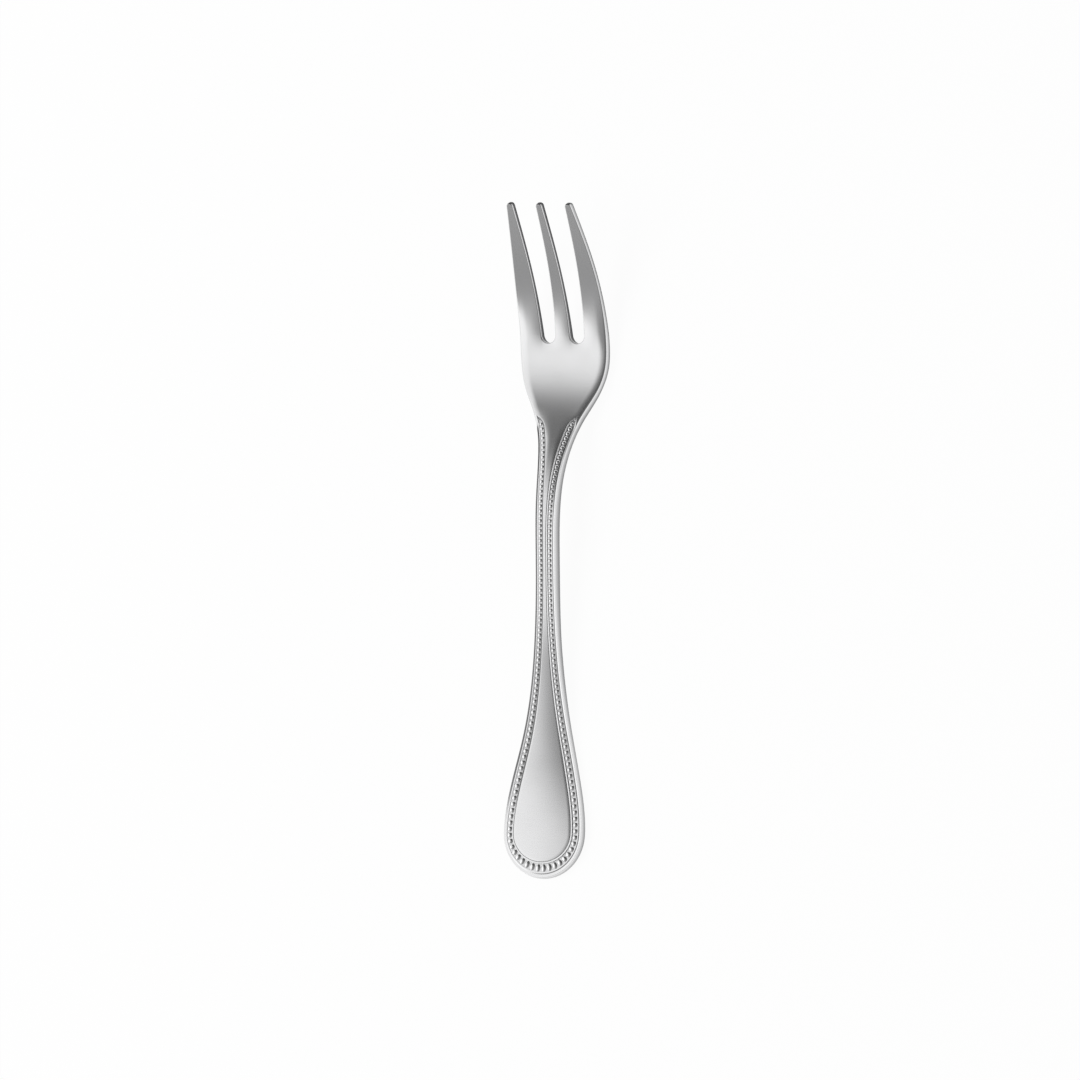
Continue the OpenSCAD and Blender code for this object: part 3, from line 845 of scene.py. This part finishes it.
def build_round_end(fork):
    """Half turn of the handle's section, with its two middle points as poles and a flat joint."""
    x, z, shade, crease, top_part = (part[0] for part in blank_half(fork, [fork.end]))
    swept = half_turn(fork, x[None, 1:-1], z[None, 1:-1], top_part[None, 1:-1])
    steps, ring = swept.shape[:2]
    grid = np.arange(steps * ring).reshape(steps, ring)
    quads = np.stack([grid[:-1, :-1], grid[1:, :-1], grid[1:, 1:], grid[:-1, 1:]], axis=-1).reshape(-1, 4)
    crest, foot = steps * ring, steps * ring + 1
    lids = np.stack([np.full(steps - 1, crest), grid[1:, 0], grid[:-1, 0]], axis=1)
    soles = np.stack([np.full(steps - 1, foot), grid[:-1, -1], grid[1:, -1]], axis=1)
    joint = [crest, *grid[0].tolist(), foot, *grid[-1, ::-1].tolist()]
    faces = quads.tolist() + lids.tolist() + soles.tolist() + [joint]
    flat = [False] * (len(faces) - 1) + [True]
    middle = fork.y(fork.end)
    points = np.concatenate([swept.reshape(-1, 3), [[0.0, middle, z[0]], [0.0, middle, z[-1]]]])
    shade, crease = (np.concatenate([np.tile(part[1:-1], steps), [0.0, 0.0]]) for part in (shade, crease))
    new_piece("handle_end", points, faces, flat, "polished_steel", shade, crease)


# Least distance in metres between two stations
LEAST_STEP = 1e-5


def build_lengths(fork):
    """Handle, stem and neck, each from one joint to the next."""
    s = side_stations(fork)
    joints = (fork.end, fork.stem, fork.neck, fork.shoulder)
    for name, first, last in zip(("handle", "stem", "neck"), joints, joints[1:]):
        inside = s[(s > first + LEAST_STEP) & (s < last - LEAST_STEP)]
        build_blank(fork, name, np.concatenate([[first], inside, [last]]))


# Rim, thread and beads

MOULDING_STEPS = 10
# Ends of the bands as shares of a moulding's width: along the rim, at its end by the shoulder, on the thread
RIM_PLACES = (0.0, 0.2, 0.4, 0.9)
SHOULDER_PLACES = (0.0, 0.007, 0.014, 0.02)
THREAD_PLACE = 0.78


def banded(x0, x1, base, places, heights, low):
    """Profile of a moulding: its inner foot, straight bands through places that are shares of its width, a
    quarter ellipse down to its outer edge, and its outer foot.

    Also returns its creases, which leave the ellipse smooth.
    """
    bands = [x0 + (x1 - x0) * place for place in places]
    turn = np.linspace(0.0, np.pi / 2, MOULDING_STEPS + 1)[None, 1:]
    over_x = bands[-1] + (x1 - bands[-1]) * np.sin(turn)
    over_z = heights[-1] - (heights[-1] - low) * (1.0 - np.cos(turn))
    x = np.concatenate([x0, *bands, over_x, x1], axis=1)
    z = np.concatenate([base, *heights, over_z, base], axis=1)
    line = np.arange(1, x.shape[1] + 1)
    line[len(bands) + 1:-1] = 0
    return x, z, np.broadcast_to(line, x.shape)


def rim_profile(fork, s, tilt):
    """Rim along the outer edge: a level band, a fine groove, a band that tilts inwards and the rounded edge.

    Towards the shoulder the bands narrow and rise to the panel until the rim is the bowl's rounded edge.
    """
    border = fork.border
    x0, x1 = fork.border_x(s, border.rim_width), fork.half(s) - fork.bulge(s)
    floor = fork.floor_z(s)
    base = floor - border.rim_drop - border.sink
    weight = ease(1.0 - (fork.shoulder - s) / border.rim_fade)
    places = [rim + (end - rim) * weight for rim, end in zip(RIM_PLACES, SHOULDER_PLACES)]
    level = floor + border.rim_rise * fork.share(s)
    level = level + (fork.top_at(x0, s) - level) * weight
    groove = level - border.rim_groove * fork.share(s) * (1.0 - weight)
    slope = math.tan(border.band_tilt) * tilt * (1.0 - weight)
    crest = groove + slope * (places[3] - places[2]) * (x1 - x0)
    return banded(x0, x1, base, places, [level, level, groove, crest], base + 2.0 * border.sink)


def thread_profile(fork, s, tilt):
    """Fine thread beside the panel: a band that tilts inwards and a rounded outer edge."""
    border = fork.border
    x0, width = fork.panel_x(s), border.thread_width * fork.share(s)
    floor = fork.floor_z(s)
    crest = floor + border.thread_height * fork.share(s)
    inner = crest - math.tan(border.band_tilt) * tilt * THREAD_PLACE * width
    places = [np.zeros_like(s), np.full_like(s, THREAD_PLACE)]
    return banded(x0, x0 + width, floor - border.sink, places, [inner, crest], floor)


def build_moulding(fork, name, profile, s, slot):
    """A moulding along the right side, along the left, and half round the handle's end.

    The tilt of its bands goes between the right side and the very end, and comes back along the left side.
    """
    s = s[:, None]
    x, z, crease = profile(fork, s, np.ones_like(s))
    y = np.broadcast_to(fork.y(s), x.shape)
    loft(name + "_right", np.stack([x, y, z - fork.fall(x, s)], axis=-1), slot, crease=crease)
    x, z, crease = profile(fork, s, ease((s - fork.end) / fork.border.tilt_return))
    left = np.stack([-x, y, z - fork.fall(-x, s)], axis=-1)
    loft(name + "_left", left[:, ::-1], slot, crease=crease[:, ::-1])
    turn = END_TURN[:, None]
    x, z, crease = profile(fork, np.full_like(turn, fork.end), np.maximum(0.0, np.cos(turn)))
    loft(name + "_end", half_turn(fork, x, z)[::-1], slot, crease=crease)


STATION_STEP = 0.0004
CLOSING_ROWS = 22


def side_stations(fork):
    """Stations of the rim and of the handle, finer where the border closes."""
    even = np.arange(fork.end, fork.closing_start, STATION_STEP)
    closing = np.sin(np.linspace(0.0, np.pi / 2, CLOSING_ROWS))
    return np.concatenate([even, fork.closing_start + fork.border.closing_length * closing])


def thread_stations(fork):
    """Stations of the thread, which ends where it reaches the gap beside the rim."""
    border = fork.border
    room = (border.rim_width + border.rim_gap + border.thread_width) / fork.border_width
    last = fork.closing_start + border.closing_length * math.sqrt(1.0 - room * room)
    s = side_stations(fork)
    return np.append(s[s < last - LEAST_STEP], last)


BEAD_SIDES = 12
BEAD_RINGS = 5
BEAD_POWER = 3
# Least bead as a share of a bead at the handle's end
LEAST_BEAD = 0.35


def bead_shape(height):
    """Struck bead with a foot of radius 1, whose height falls with the cube of the distance from its middle:
    rings from its foot to near its crest, the crest, and its faces."""
    away = np.linspace(1.0, 0.0, BEAD_RINGS + 1)[:-1, None]
    turn = np.linspace(0.0, 2 * np.pi, BEAD_SIDES, endpoint=False)[None, :]
    rise = height * (1.0 - away ** BEAD_POWER)
    rings = np.stack(np.broadcast_arrays(away * np.cos(turn), away * np.sin(turn), rise), axis=-1)
    rings = rings.reshape(-1, 3)
    crest = len(rings)
    k = np.arange(BEAD_SIDES)
    after = (k + 1) % BEAD_SIDES
    low = np.arange(BEAD_RINGS - 1)[:, None] * BEAD_SIDES
    quads = np.stack([low + k, low + after, low + after + BEAD_SIDES, low + k + BEAD_SIDES], axis=-1)
    last = (BEAD_RINGS - 1) * BEAD_SIDES
    lids = np.stack([last + k, last + after, np.full(BEAD_SIDES, crest)], axis=-1)
    points = np.concatenate([rings, [[0.0, 0.0, height]]])
    return points, quads.reshape(-1, 4), lids, k[::-1]


def build_beads(fork, name, places, radii, slopes, slants, turns, lengths):
    """A row of beads at places, each drawn out by a length along its turn about Z, then tilted by the slope
    of the border's floor under it and sheared by the floor's slant, its fall to the right."""
    points, quads, lids, foot = bead_shape(2.0 * fork.border.bead_height / fork.border.bead_diameter)
    lean, cos, sin = np.arctan(slopes)[:, None], np.cos(turns)[:, None], np.sin(turns)[:, None]
    x, y, z = points.T
    far = (x * cos + y * sin) * (lengths[:, None] - 1.0)
    x, y = x + far * cos, y + far * sin
    turned = np.stack(np.broadcast_arrays(
        x, y * np.cos(lean) - z * np.sin(lean), y * np.sin(lean) + z * np.cos(lean) - slants[:, None] * x
    ), axis=-1)
    placed = places[:, None, :] + turned * radii[:, None, None]
    start = np.arange(len(places))[:, None, None] * len(points)
    faces = (
        (quads + start).reshape(-1, 4).tolist()
        + (lids + start).reshape(-1, 3).tolist()
        + (foot + start[:, 0]).tolist()
    )
    flat = np.arange(len(faces)) >= len(faces) - len(places)
    new_piece(name, placed, faces, flat, "bead_steel")


def bead_place(fork, s):
    """Middle and radius of a bead between the rim and the thread, which shrinks where the border closes."""
    border, share = fork.border, fork.share(s)
    outer = fork.border_x(s, border.rim_width + border.rim_gap)
    inner = fork.panel_x(s) + (border.thread_width + border.thread_gap) * share
    radius = np.minimum(border.bead_diameter / 2 * share, (outer - inner) / 2)
    return (outer + inner) / 2, radius


def bead_stations(fork):
    """Stations of the beads along one side, a pitch apart that shrinks with the beads."""
    border = fork.border
    least = LEAST_BEAD * border.bead_diameter / 2
    stations, s = [], fork.end + border.bead_pitch / 2
    while s < fork.shoulder and (radius := float(bead_place(fork, s)[1])) > least:
        stations.append(s)
        s += border.bead_pitch * radius / (border.bead_diameter / 2) / float(fork.stretch(s))
    return np.array(stations)


def build_side_beads(fork):
    """Beads along both sides, on the floor of the border and falling with it."""
    s = bead_stations(fork)
    (x, radii), y, z = bead_place(fork, s), fork.y(s), fork.floor_z(s) - fork.border.sink
    level = np.zeros(len(s))
    for name, side in (("beads_right", x), ("beads_left", -x)):
        places = np.stack([side, y, z - fork.fall(side, s)], axis=1)
        slants = fork.slant(s) * np.sign(side)
        build_beads(fork, name, places, radii, fork.top_slope(s), slants, level, level + 1.0)


def build_end_beads(fork):
    """Beads half round the handle's end, drawn out towards the very end with the sine of their turn."""
    border = fork.border
    ring = fork.size.handle_width / 2 - fork.bead_inset
    count = int(math.pi * ring / border.bead_pitch)
    turn = math.pi * (np.arange(count) + 0.5) / count
    across, away = ring * np.cos(turn), ring - end_place(fork, np.array(ring))
    height = float(fork.floor_z(np.array(fork.end))) - border.sink
    y, z = fork.y(fork.end) - away * np.sin(turn), height - fork.lean(fork.end) * across
    radii, level = np.full(count, border.bead_diameter / 2), np.zeros(count)
    drawn = 1.0 + border.end_beads / border.bead_diameter * np.sin(turn)
    build_beads(fork, "beads_end", np.stack([across, y, z], axis=1), radii, level, level, -turn, drawn)


# Materials

def node(tree, kind, **sockets):
    """A new node with some of its inputs set by name."""
    made = tree.nodes.new(kind)
    for name, value in sockets.items():
        made.inputs[name].default_value = value
    return made


def math_node(tree, operation, first, second):
    """A Math node on two numbers or outputs."""
    made = tree.nodes.new("ShaderNodeMath")
    made.operation = operation
    for socket, value in zip(made.inputs, (first, second)):
        if isinstance(value, bpy.types.NodeSocket):
            tree.links.new(value, socket)
        else:
            socket.default_value = value
    return made.outputs["Value"]


NOISE_DETAIL = 3.0
# Polishing streaks: waves for each metre, roughness of the noise, and shares in the colour and the polish
STREAK_SCALE = (160.0, 5200.0, 2400.0)
STREAK_NOISE = 0.6
STREAK_SHADE = 0.02
STREAK_POLISH = 0.03
# Clouds of wear, likewise
CLOUD_SCALE = 130.0
CLOUD_NOISE = 0.55
CLOUD_SHADE = 0.05
CLOUD_POLISH = 0.05
# Painted shade of grooves and walls: colour of full shade, and shares in the colour and the polish
PAINTED_SHADE_COLOUR = (0.02, 0.02, 0.022, 1.0)
PAINTED_SHADE_SHARE = 0.85
SHADED_POLISH = 0.2
# Sockets of a Mix node that mixes colours
MIX_FIRST, MIX_SECOND, MIX_RESULT = 6, 7, 2


def finish_and_painted_shade_group():
    """Polished steel shared by all pieces: fine polishing streaks across the fork, soft clouds of wear, and
    painted shade that darkens and dulls the grooves and walls. Puts out a colour, a roughness and the
    streaks as a height."""
    tree = bpy.data.node_groups.new("polished finish and painted shade", "ShaderNodeTree")
    for name, way, kind in (
        ("Steel", "INPUT", "Color"), ("Polish", "INPUT", "Float"),
        ("Colour", "OUTPUT", "Color"), ("Roughness", "OUTPUT", "Float"), ("Streaks", "OUTPUT", "Float"),
    ):
        tree.interface.new_socket(name, in_out=way, socket_type="NodeSocket" + kind)
    given, put = node(tree, "NodeGroupInput"), node(tree, "NodeGroupOutput")
    place = node(tree, "ShaderNodeTexCoord")
    streak_place = node(tree, "ShaderNodeMapping", Scale=STREAK_SCALE)
    tree.links.new(place.outputs["Object"], streak_place.inputs["Vector"])
    streaks = node(tree, "ShaderNodeTexNoise", Scale=1.0, Detail=NOISE_DETAIL, Roughness=STREAK_NOISE)
    tree.links.new(streak_place.outputs["Vector"], streaks.inputs["Vector"])
    clouds = node(tree, "ShaderNodeTexNoise", Scale=CLOUD_SCALE, Detail=NOISE_DETAIL, Roughness=CLOUD_NOISE)
    tree.links.new(place.outputs["Object"], clouds.inputs["Vector"])
    shaded = node(tree, "ShaderNodeAttribute")
    shaded.attribute_name = "shade"
    streak, cloud, painted_shade = streaks.outputs["Fac"], clouds.outputs["Fac"], shaded.outputs["Fac"]

    # Darkening from the streaks and the clouds of wear, and the painted shade
    shade = math_node(tree, "ADD", math_node(tree, "MULTIPLY", streak, STREAK_SHADE),
                      math_node(tree, "MULTIPLY", cloud, CLOUD_SHADE))
    shade = math_node(tree, "ADD", shade, math_node(tree, "MULTIPLY", painted_shade, PAINTED_SHADE_SHARE))
    dim = tree.nodes.new("ShaderNodeMix")
    dim.data_type = "RGBA"
    tree.links.new(shade, dim.inputs["Factor"])
    tree.links.new(given.outputs["Steel"], dim.inputs[MIX_FIRST])
    dim.inputs[MIX_SECOND].default_value = PAINTED_SHADE_COLOUR
    tree.links.new(dim.outputs[MIX_RESULT], put.inputs["Colour"])

    dull = math_node(tree, "ADD", math_node(tree, "MULTIPLY", streak, STREAK_POLISH),
                     math_node(tree, "MULTIPLY", cloud, CLOUD_POLISH))
    dull = math_node(tree, "ADD", dull, math_node(tree, "MULTIPLY", painted_shade, SHADED_POLISH))
    dull = math_node(tree, "ADD", dull, given.outputs["Polish"])
    dull = math_node(tree, "SUBTRACT", dull, (STREAK_POLISH + CLOUD_POLISH) / 2)
    tree.links.new(dull, put.inputs["Roughness"])
    tree.links.new(streak, put.inputs["Streaks"])
    return tree


# Depth of the polishing streaks in metres, and how strongly they turn the light
STREAK_DEPTH = 0.0000015
STREAK_STRENGTH = 0.06


def steel_material(slot, group, steel, polish):
    """A steel finish for one of the record's slots."""
    material = bpy.data.materials.new(FINISH_NAMES[slot])
    material.use_nodes = True
    tree = material.node_tree
    shader = tree.nodes["Principled BSDF"]
    shader.inputs["Metallic"].default_value = 1.0
    finish = tree.nodes.new("ShaderNodeGroup")
    finish.node_tree = group
    finish.inputs["Steel"].default_value = (*steel, 1.0)
    finish.inputs["Polish"].default_value = polish
    bump = node(tree, "ShaderNodeBump", Strength=STREAK_STRENGTH, Distance=STREAK_DEPTH)
    tree.links.new(finish.outputs["Colour"], shader.inputs["Base Color"])
    tree.links.new(finish.outputs["Roughness"], shader.inputs["Roughness"])
    tree.links.new(finish.outputs["Streaks"], bump.inputs["Height"])
    tree.links.new(bump.outputs["Normal"], shader.inputs["Normal"])


# Stage

FLOOR_SIZE = 8.0


def floor_material(stage):
    """Pale floor that takes the fork's shadow. The camera and the steel see it mostly as plain white."""
    material = bpy.data.materials.new("floor")
    material.use_nodes = True
    tree = material.node_tree
    tree.nodes.remove(tree.nodes["Principled BSDF"])
    lit = node(tree, "ShaderNodeBsdfDiffuse", Color=(*stage.floor_colour, 1.0))
    white = node(tree, "ShaderNodeEmission", Color=(1.0, 1.0, 1.0, 1.0), Strength=1.0)
    path = node(tree, "ShaderNodeLightPath")
    seen = math_node(tree, "MAXIMUM", path.outputs["Is Camera Ray"], path.outputs["Is Glossy Ray"])
    seen = math_node(tree, "MAXIMUM", seen, path.outputs["Is Transmission Ray"])
    mix = node(tree, "ShaderNodeMixShader")
    tree.links.new(math_node(tree, "MULTIPLY", seen, stage.floor_glow), mix.inputs["Fac"])
    tree.links.new(lit.outputs["BSDF"], mix.inputs[1])
    tree.links.new(white.outputs["Emission"], mix.inputs[2])
    tree.links.new(mix.outputs["Shader"], tree.nodes["Material Output"].inputs["Surface"])
    return material


def build_floor(stage):
    """Square floor at the height that the fork rests on."""
    half = FLOOR_SIZE / 2
    mesh = bpy.data.meshes.new("floor")
    corners = [(-half, -half, 0.0), (half, -half, 0.0), (half, half, 0.0), (-half, half, 0.0)]
    mesh.from_pydata(corners, [], [(0, 1, 2, 3)])
    mesh.materials.append(floor_material(stage))
    floor = bpy.data.objects.new("floor", mesh)
    bpy.context.scene.collection.objects.link(floor)


# Soft lights of the studio: name, direction, strength, the angles in degrees from that direction between
# which each fades, and the heights in degrees above the floor between which a wall ends
STUDIO_LIGHTS = (
    ("broad light, upper left", (-0.818, -0.03, 0.572), 0.95, 23.5, 35.0, None),
    ("left wall", (-1.0, 0.0, 0.0), 0.75, 45.0, 60.0, (20.0, 34.0)),
    ("left wall, tine side", (-0.771, 0.616, 0.164), 0.9, 8.0, 26.0, None),
    ("back wall", (-0.3, 0.95, 0.0), 0.9, 35.0, 52.0, (26.0, 38.0)),
    ("right wall", (1.0, 0.0, 0.0), 1.0, 50.0, 70.0, (24.0, 38.0)),
    ("front wall", (0.0, -1.0, 0.0), 0.7, 40.0, 57.0, (12.0, 20.0)),
)
# Light of the room on the handle's side and on the tines' side, and where along the fork it changes
HANDLE_SIDE_LEVEL = 0.38
TINE_SIDE_LEVEL = 0.11
LEVEL_FADE = (-0.5, 0.45)
# Share of it that is left on the right, and where across the fork it changes
RIGHT_SHARE = 0.62
RIGHT_FADE = (-0.45, 0.05)


def build_world():
    """Studio seen in the steel: darker towards the tines and the right, with soft lights and pale low walls.

    Its light is the strongest of the soft lights at each direction, added to that of the room.
    """
    world = bpy.data.worlds.new("studio")
    bpy.context.scene.world = world
    world.use_nodes = True
    tree = world.node_tree
    place = node(tree, "ShaderNodeTexCoord")
    light = 0.0
    for name, direction, strength, inner, outer, heights in STUDIO_LIGHTS:
        spot = fade_node(tree, place, direction, math.cos(math.radians(outer)), math.cos(math.radians(inner)))
        spot.label = name
        spot.inputs["To Max"].default_value = strength
        level = spot.outputs["Result"]
        if heights:
            low, high = (math.sin(math.radians(height)) for height in heights)
            wall = fade_node(tree, place, (0.0, 0.0, -1.0), -high, -low)
            level = math_node(tree, "MULTIPLY", level, wall.outputs["Result"])
        light = math_node(tree, "MAXIMUM", light, level)
    base = fade_node(tree, place, (0.0, 1.0, 0.0), *LEVEL_FADE)
    base.inputs["To Min"].default_value = HANDLE_SIDE_LEVEL
    base.inputs["To Max"].default_value = TINE_SIDE_LEVEL
    side = fade_node(tree, place, (1.0, 0.0, 0.0), *RIGHT_FADE)
    side.inputs["To Min"].default_value = 1.0
    side.inputs["To Max"].default_value = RIGHT_SHARE
    rest = math_node(tree, "MULTIPLY", base.outputs["Result"], side.outputs["Result"])
    background = tree.nodes["Background"]
    tree.links.new(math_node(tree, "ADD", light, rest), background.inputs["Color"])
    background.inputs["Strength"].default_value = 1.0


def fade_node(tree, place, direction, low, high):
    """A smooth fade over how far the view points in a direction, from one cosine to another."""
    dot = tree.nodes.new("ShaderNodeVectorMath")
    dot.operation = "DOT_PRODUCT"
    tree.links.new(place.outputs["Generated"], dot.inputs[0])
    dot.inputs[1].default_value = Vector(direction).normalized()
    fade = tree.nodes.new("ShaderNodeMapRange")
    fade.interpolation_type = "SMOOTHSTEP"
    fade.inputs["From Min"].default_value = low
    fade.inputs["From Max"].default_value = high
    tree.links.new(dot.outputs["Value"], fade.inputs["Value"])
    return fade


LAMP_PLACE = (-0.75, -0.1, 1.0)
LAMP_SIZE = 0.9
LAMP_POWER = 9.0


def build_lamp():
    """Large soft lamp high on the left that gives the floor its light and the fork its shadow."""
    data = bpy.data.lights.new("softbox", "AREA")
    data.shape = "DISK"
    data.size = LAMP_SIZE
    data.energy = LAMP_POWER
    lamp = bpy.data.objects.new("softbox", data)
    lamp.location = LAMP_PLACE
    lamp.rotation_euler = (-lamp.location).to_track_quat("-Z", "Y").to_euler()
    lamp.visible_glossy = False
    bpy.context.scene.collection.objects.link(lamp)


# Sensor in millimetres, and the nearest that the camera sees in metres
SENSOR_WIDTH = 36.0
NEAREST = 0.01


def build_camera(stage):
    """Camera tilted to the right of straight above, leaned and rolled, and moved aside to place the fork."""
    tilt, lean = stage.view_tilt, stage.view_lean
    back = Vector((math.sin(tilt) * math.cos(lean), math.sin(lean), math.cos(tilt) * math.cos(lean)))
    up = (Vector((0.0, 1.0, 0.0)) - back * back.y).normalized()
    right = up.cross(back)
    roll = stage.view_roll
    across = right * math.cos(roll) + up * math.sin(roll)
    upward = up * math.cos(roll) - right * math.sin(roll)
    middle = Vector((0.0, 0.0, stage.aim_height))
    eye = middle + back * stage.view_distance - across * stage.offset_right + upward * stage.offset_down
    data = bpy.data.cameras.new("camera")
    data.sensor_width = SENSOR_WIDTH
    data.lens = data.sensor_width * stage.view_distance / stage.picture_width
    data.clip_start = NEAREST
    camera = bpy.data.objects.new("camera", data)
    camera.matrix_world = Matrix.Translation(eye) @ Matrix((across, upward, back)).transposed().to_4x4()
    bpy.context.scene.collection.objects.link(camera)
    bpy.context.scene.camera = camera


# Operators

class CAKEFORK_OT_stage(bpy.types.Operator):
    """Add the floor, the studio light and the camera"""

    bl_idname = "cakefork.stage"
    bl_label = "Stage"

    def execute(self, context):
        context.scene.view_settings.view_transform = "Standard"
        build_floor(context.scene.stage_settings)
        build_world()
        build_lamp()
        build_camera(context.scene.stage_settings)
        return {"FINISHED"}


class CAKEFORK_OT_finishes(bpy.types.Operator):
    """Make the three steel finishes"""

    bl_idname = "cakefork.finishes"
    bl_label = "Finishes"

    def execute(self, context):
        finish = context.scene.finish_settings
        group = finish_and_painted_shade_group()
        steel_material("polished_steel", group, finish.steel, finish.steel_roughness)
        steel_material("border_steel", group, finish.border_steel, finish.border_roughness)
        steel_material("bead_steel", group, finish.bead_steel, finish.bead_roughness)
        return {"FINISHED"}


class CAKEFORK_OT_tines(bpy.types.Operator):
    """Build the three tines"""

    bl_idname = "cakefork.tines"
    bl_label = "Tines"

    def execute(self, context):
        build_tines(Fork(context.scene))
        return {"FINISHED"}


class CAKEFORK_OT_bowl(bpy.types.Operator):
    """Build the bowl with the round ends of its slots"""

    bl_idname = "cakefork.bowl"
    bl_label = "Bowl"

    def execute(self, context):
        build_bowl(Fork(context.scene))
        return {"FINISHED"}


class CAKEFORK_OT_handle(bpy.types.Operator):
    """Build the neck, the stem, the handle and its round end"""

    bl_idname = "cakefork.handle"
    bl_label = "Neck, stem and handle"

    def execute(self, context):
        fork = Fork(context.scene)
        build_lengths(fork)
        build_round_end(fork)
        return {"FINISHED"}


class CAKEFORK_OT_rims(bpy.types.Operator):
    """Build the rim along both sides and round the end"""

    bl_idname = "cakefork.rims"
    bl_label = "Rims"

    def execute(self, context):
        fork = Fork(context.scene)
        build_moulding(fork, "rim", rim_profile, side_stations(fork), "border_steel")
        return {"FINISHED"}


class CAKEFORK_OT_threads(bpy.types.Operator):
    """Build the fine thread along both sides and round the end"""

    bl_idname = "cakefork.threads"
    bl_label = "Threads"

    def execute(self, context):
        fork = Fork(context.scene)
        build_moulding(fork, "thread", thread_profile, thread_stations(fork), "border_steel")
        return {"FINISHED"}


class CAKEFORK_OT_beads(bpy.types.Operator):
    """Build the rows of beads along both sides and round the end"""

    bl_idname = "cakefork.beads"
    bl_label = "Beads"

    def execute(self, context):
        fork = Fork(context.scene)
        build_side_beads(fork)
        build_end_beads(fork)
        return {"FINISHED"}


STEPS = (
    CAKEFORK_OT_stage, CAKEFORK_OT_finishes, CAKEFORK_OT_tines, CAKEFORK_OT_bowl, CAKEFORK_OT_handle,
    CAKEFORK_OT_rims, CAKEFORK_OT_threads, CAKEFORK_OT_beads,
)
SETTINGS = (
    ("fork_sizes", ForkSizes), ("tine_sizes", TineSizes), ("border_sizes", BorderSizes),
    ("finish_settings", Finish), ("stage_settings", Stage),
)


class CAKEFORK_PT_panel(bpy.types.Panel):
    """Sidebar panel with the steps and the settings"""

    bl_idname = "CAKEFORK_PT_panel"
    bl_label = "Cake fork"
    bl_space_type = "VIEW_3D"
    bl_region_type = "UI"
    bl_category = "Cake fork"

    def draw(self, context):
        """Lists the steps as buttons, then the settings."""
        for step in STEPS:
            self.layout.operator(step.bl_idname)
        for name, group in SETTINGS:
            box = self.layout.box()
            for key in group.__annotations__:
                box.prop(getattr(context.scene, name), key)


def register():
    """Registers the settings, the steps and the panel."""
    for name, group in SETTINGS:
        bpy.utils.register_class(group)
        setattr(bpy.types.Scene, name, PointerProperty(type=group))
    for kind in (*STEPS, CAKEFORK_PT_panel):
        bpy.utils.register_class(kind)


def unregister():
    """Takes them out again in the opposite order."""
    for kind in (CAKEFORK_PT_panel, *reversed(STEPS)):
        bpy.utils.unregister_class(kind)
    for name, group in reversed(SETTINGS):
        delattr(bpy.types.Scene, name)
        bpy.utils.unregister_class(group)


def main():
    """Registers the add-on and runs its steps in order."""
    register()
    for step in STEPS:
        group, name = step.bl_idname.split(".")
        getattr(getattr(bpy.ops, group), name)()


if __name__ == "__main__":
    main()
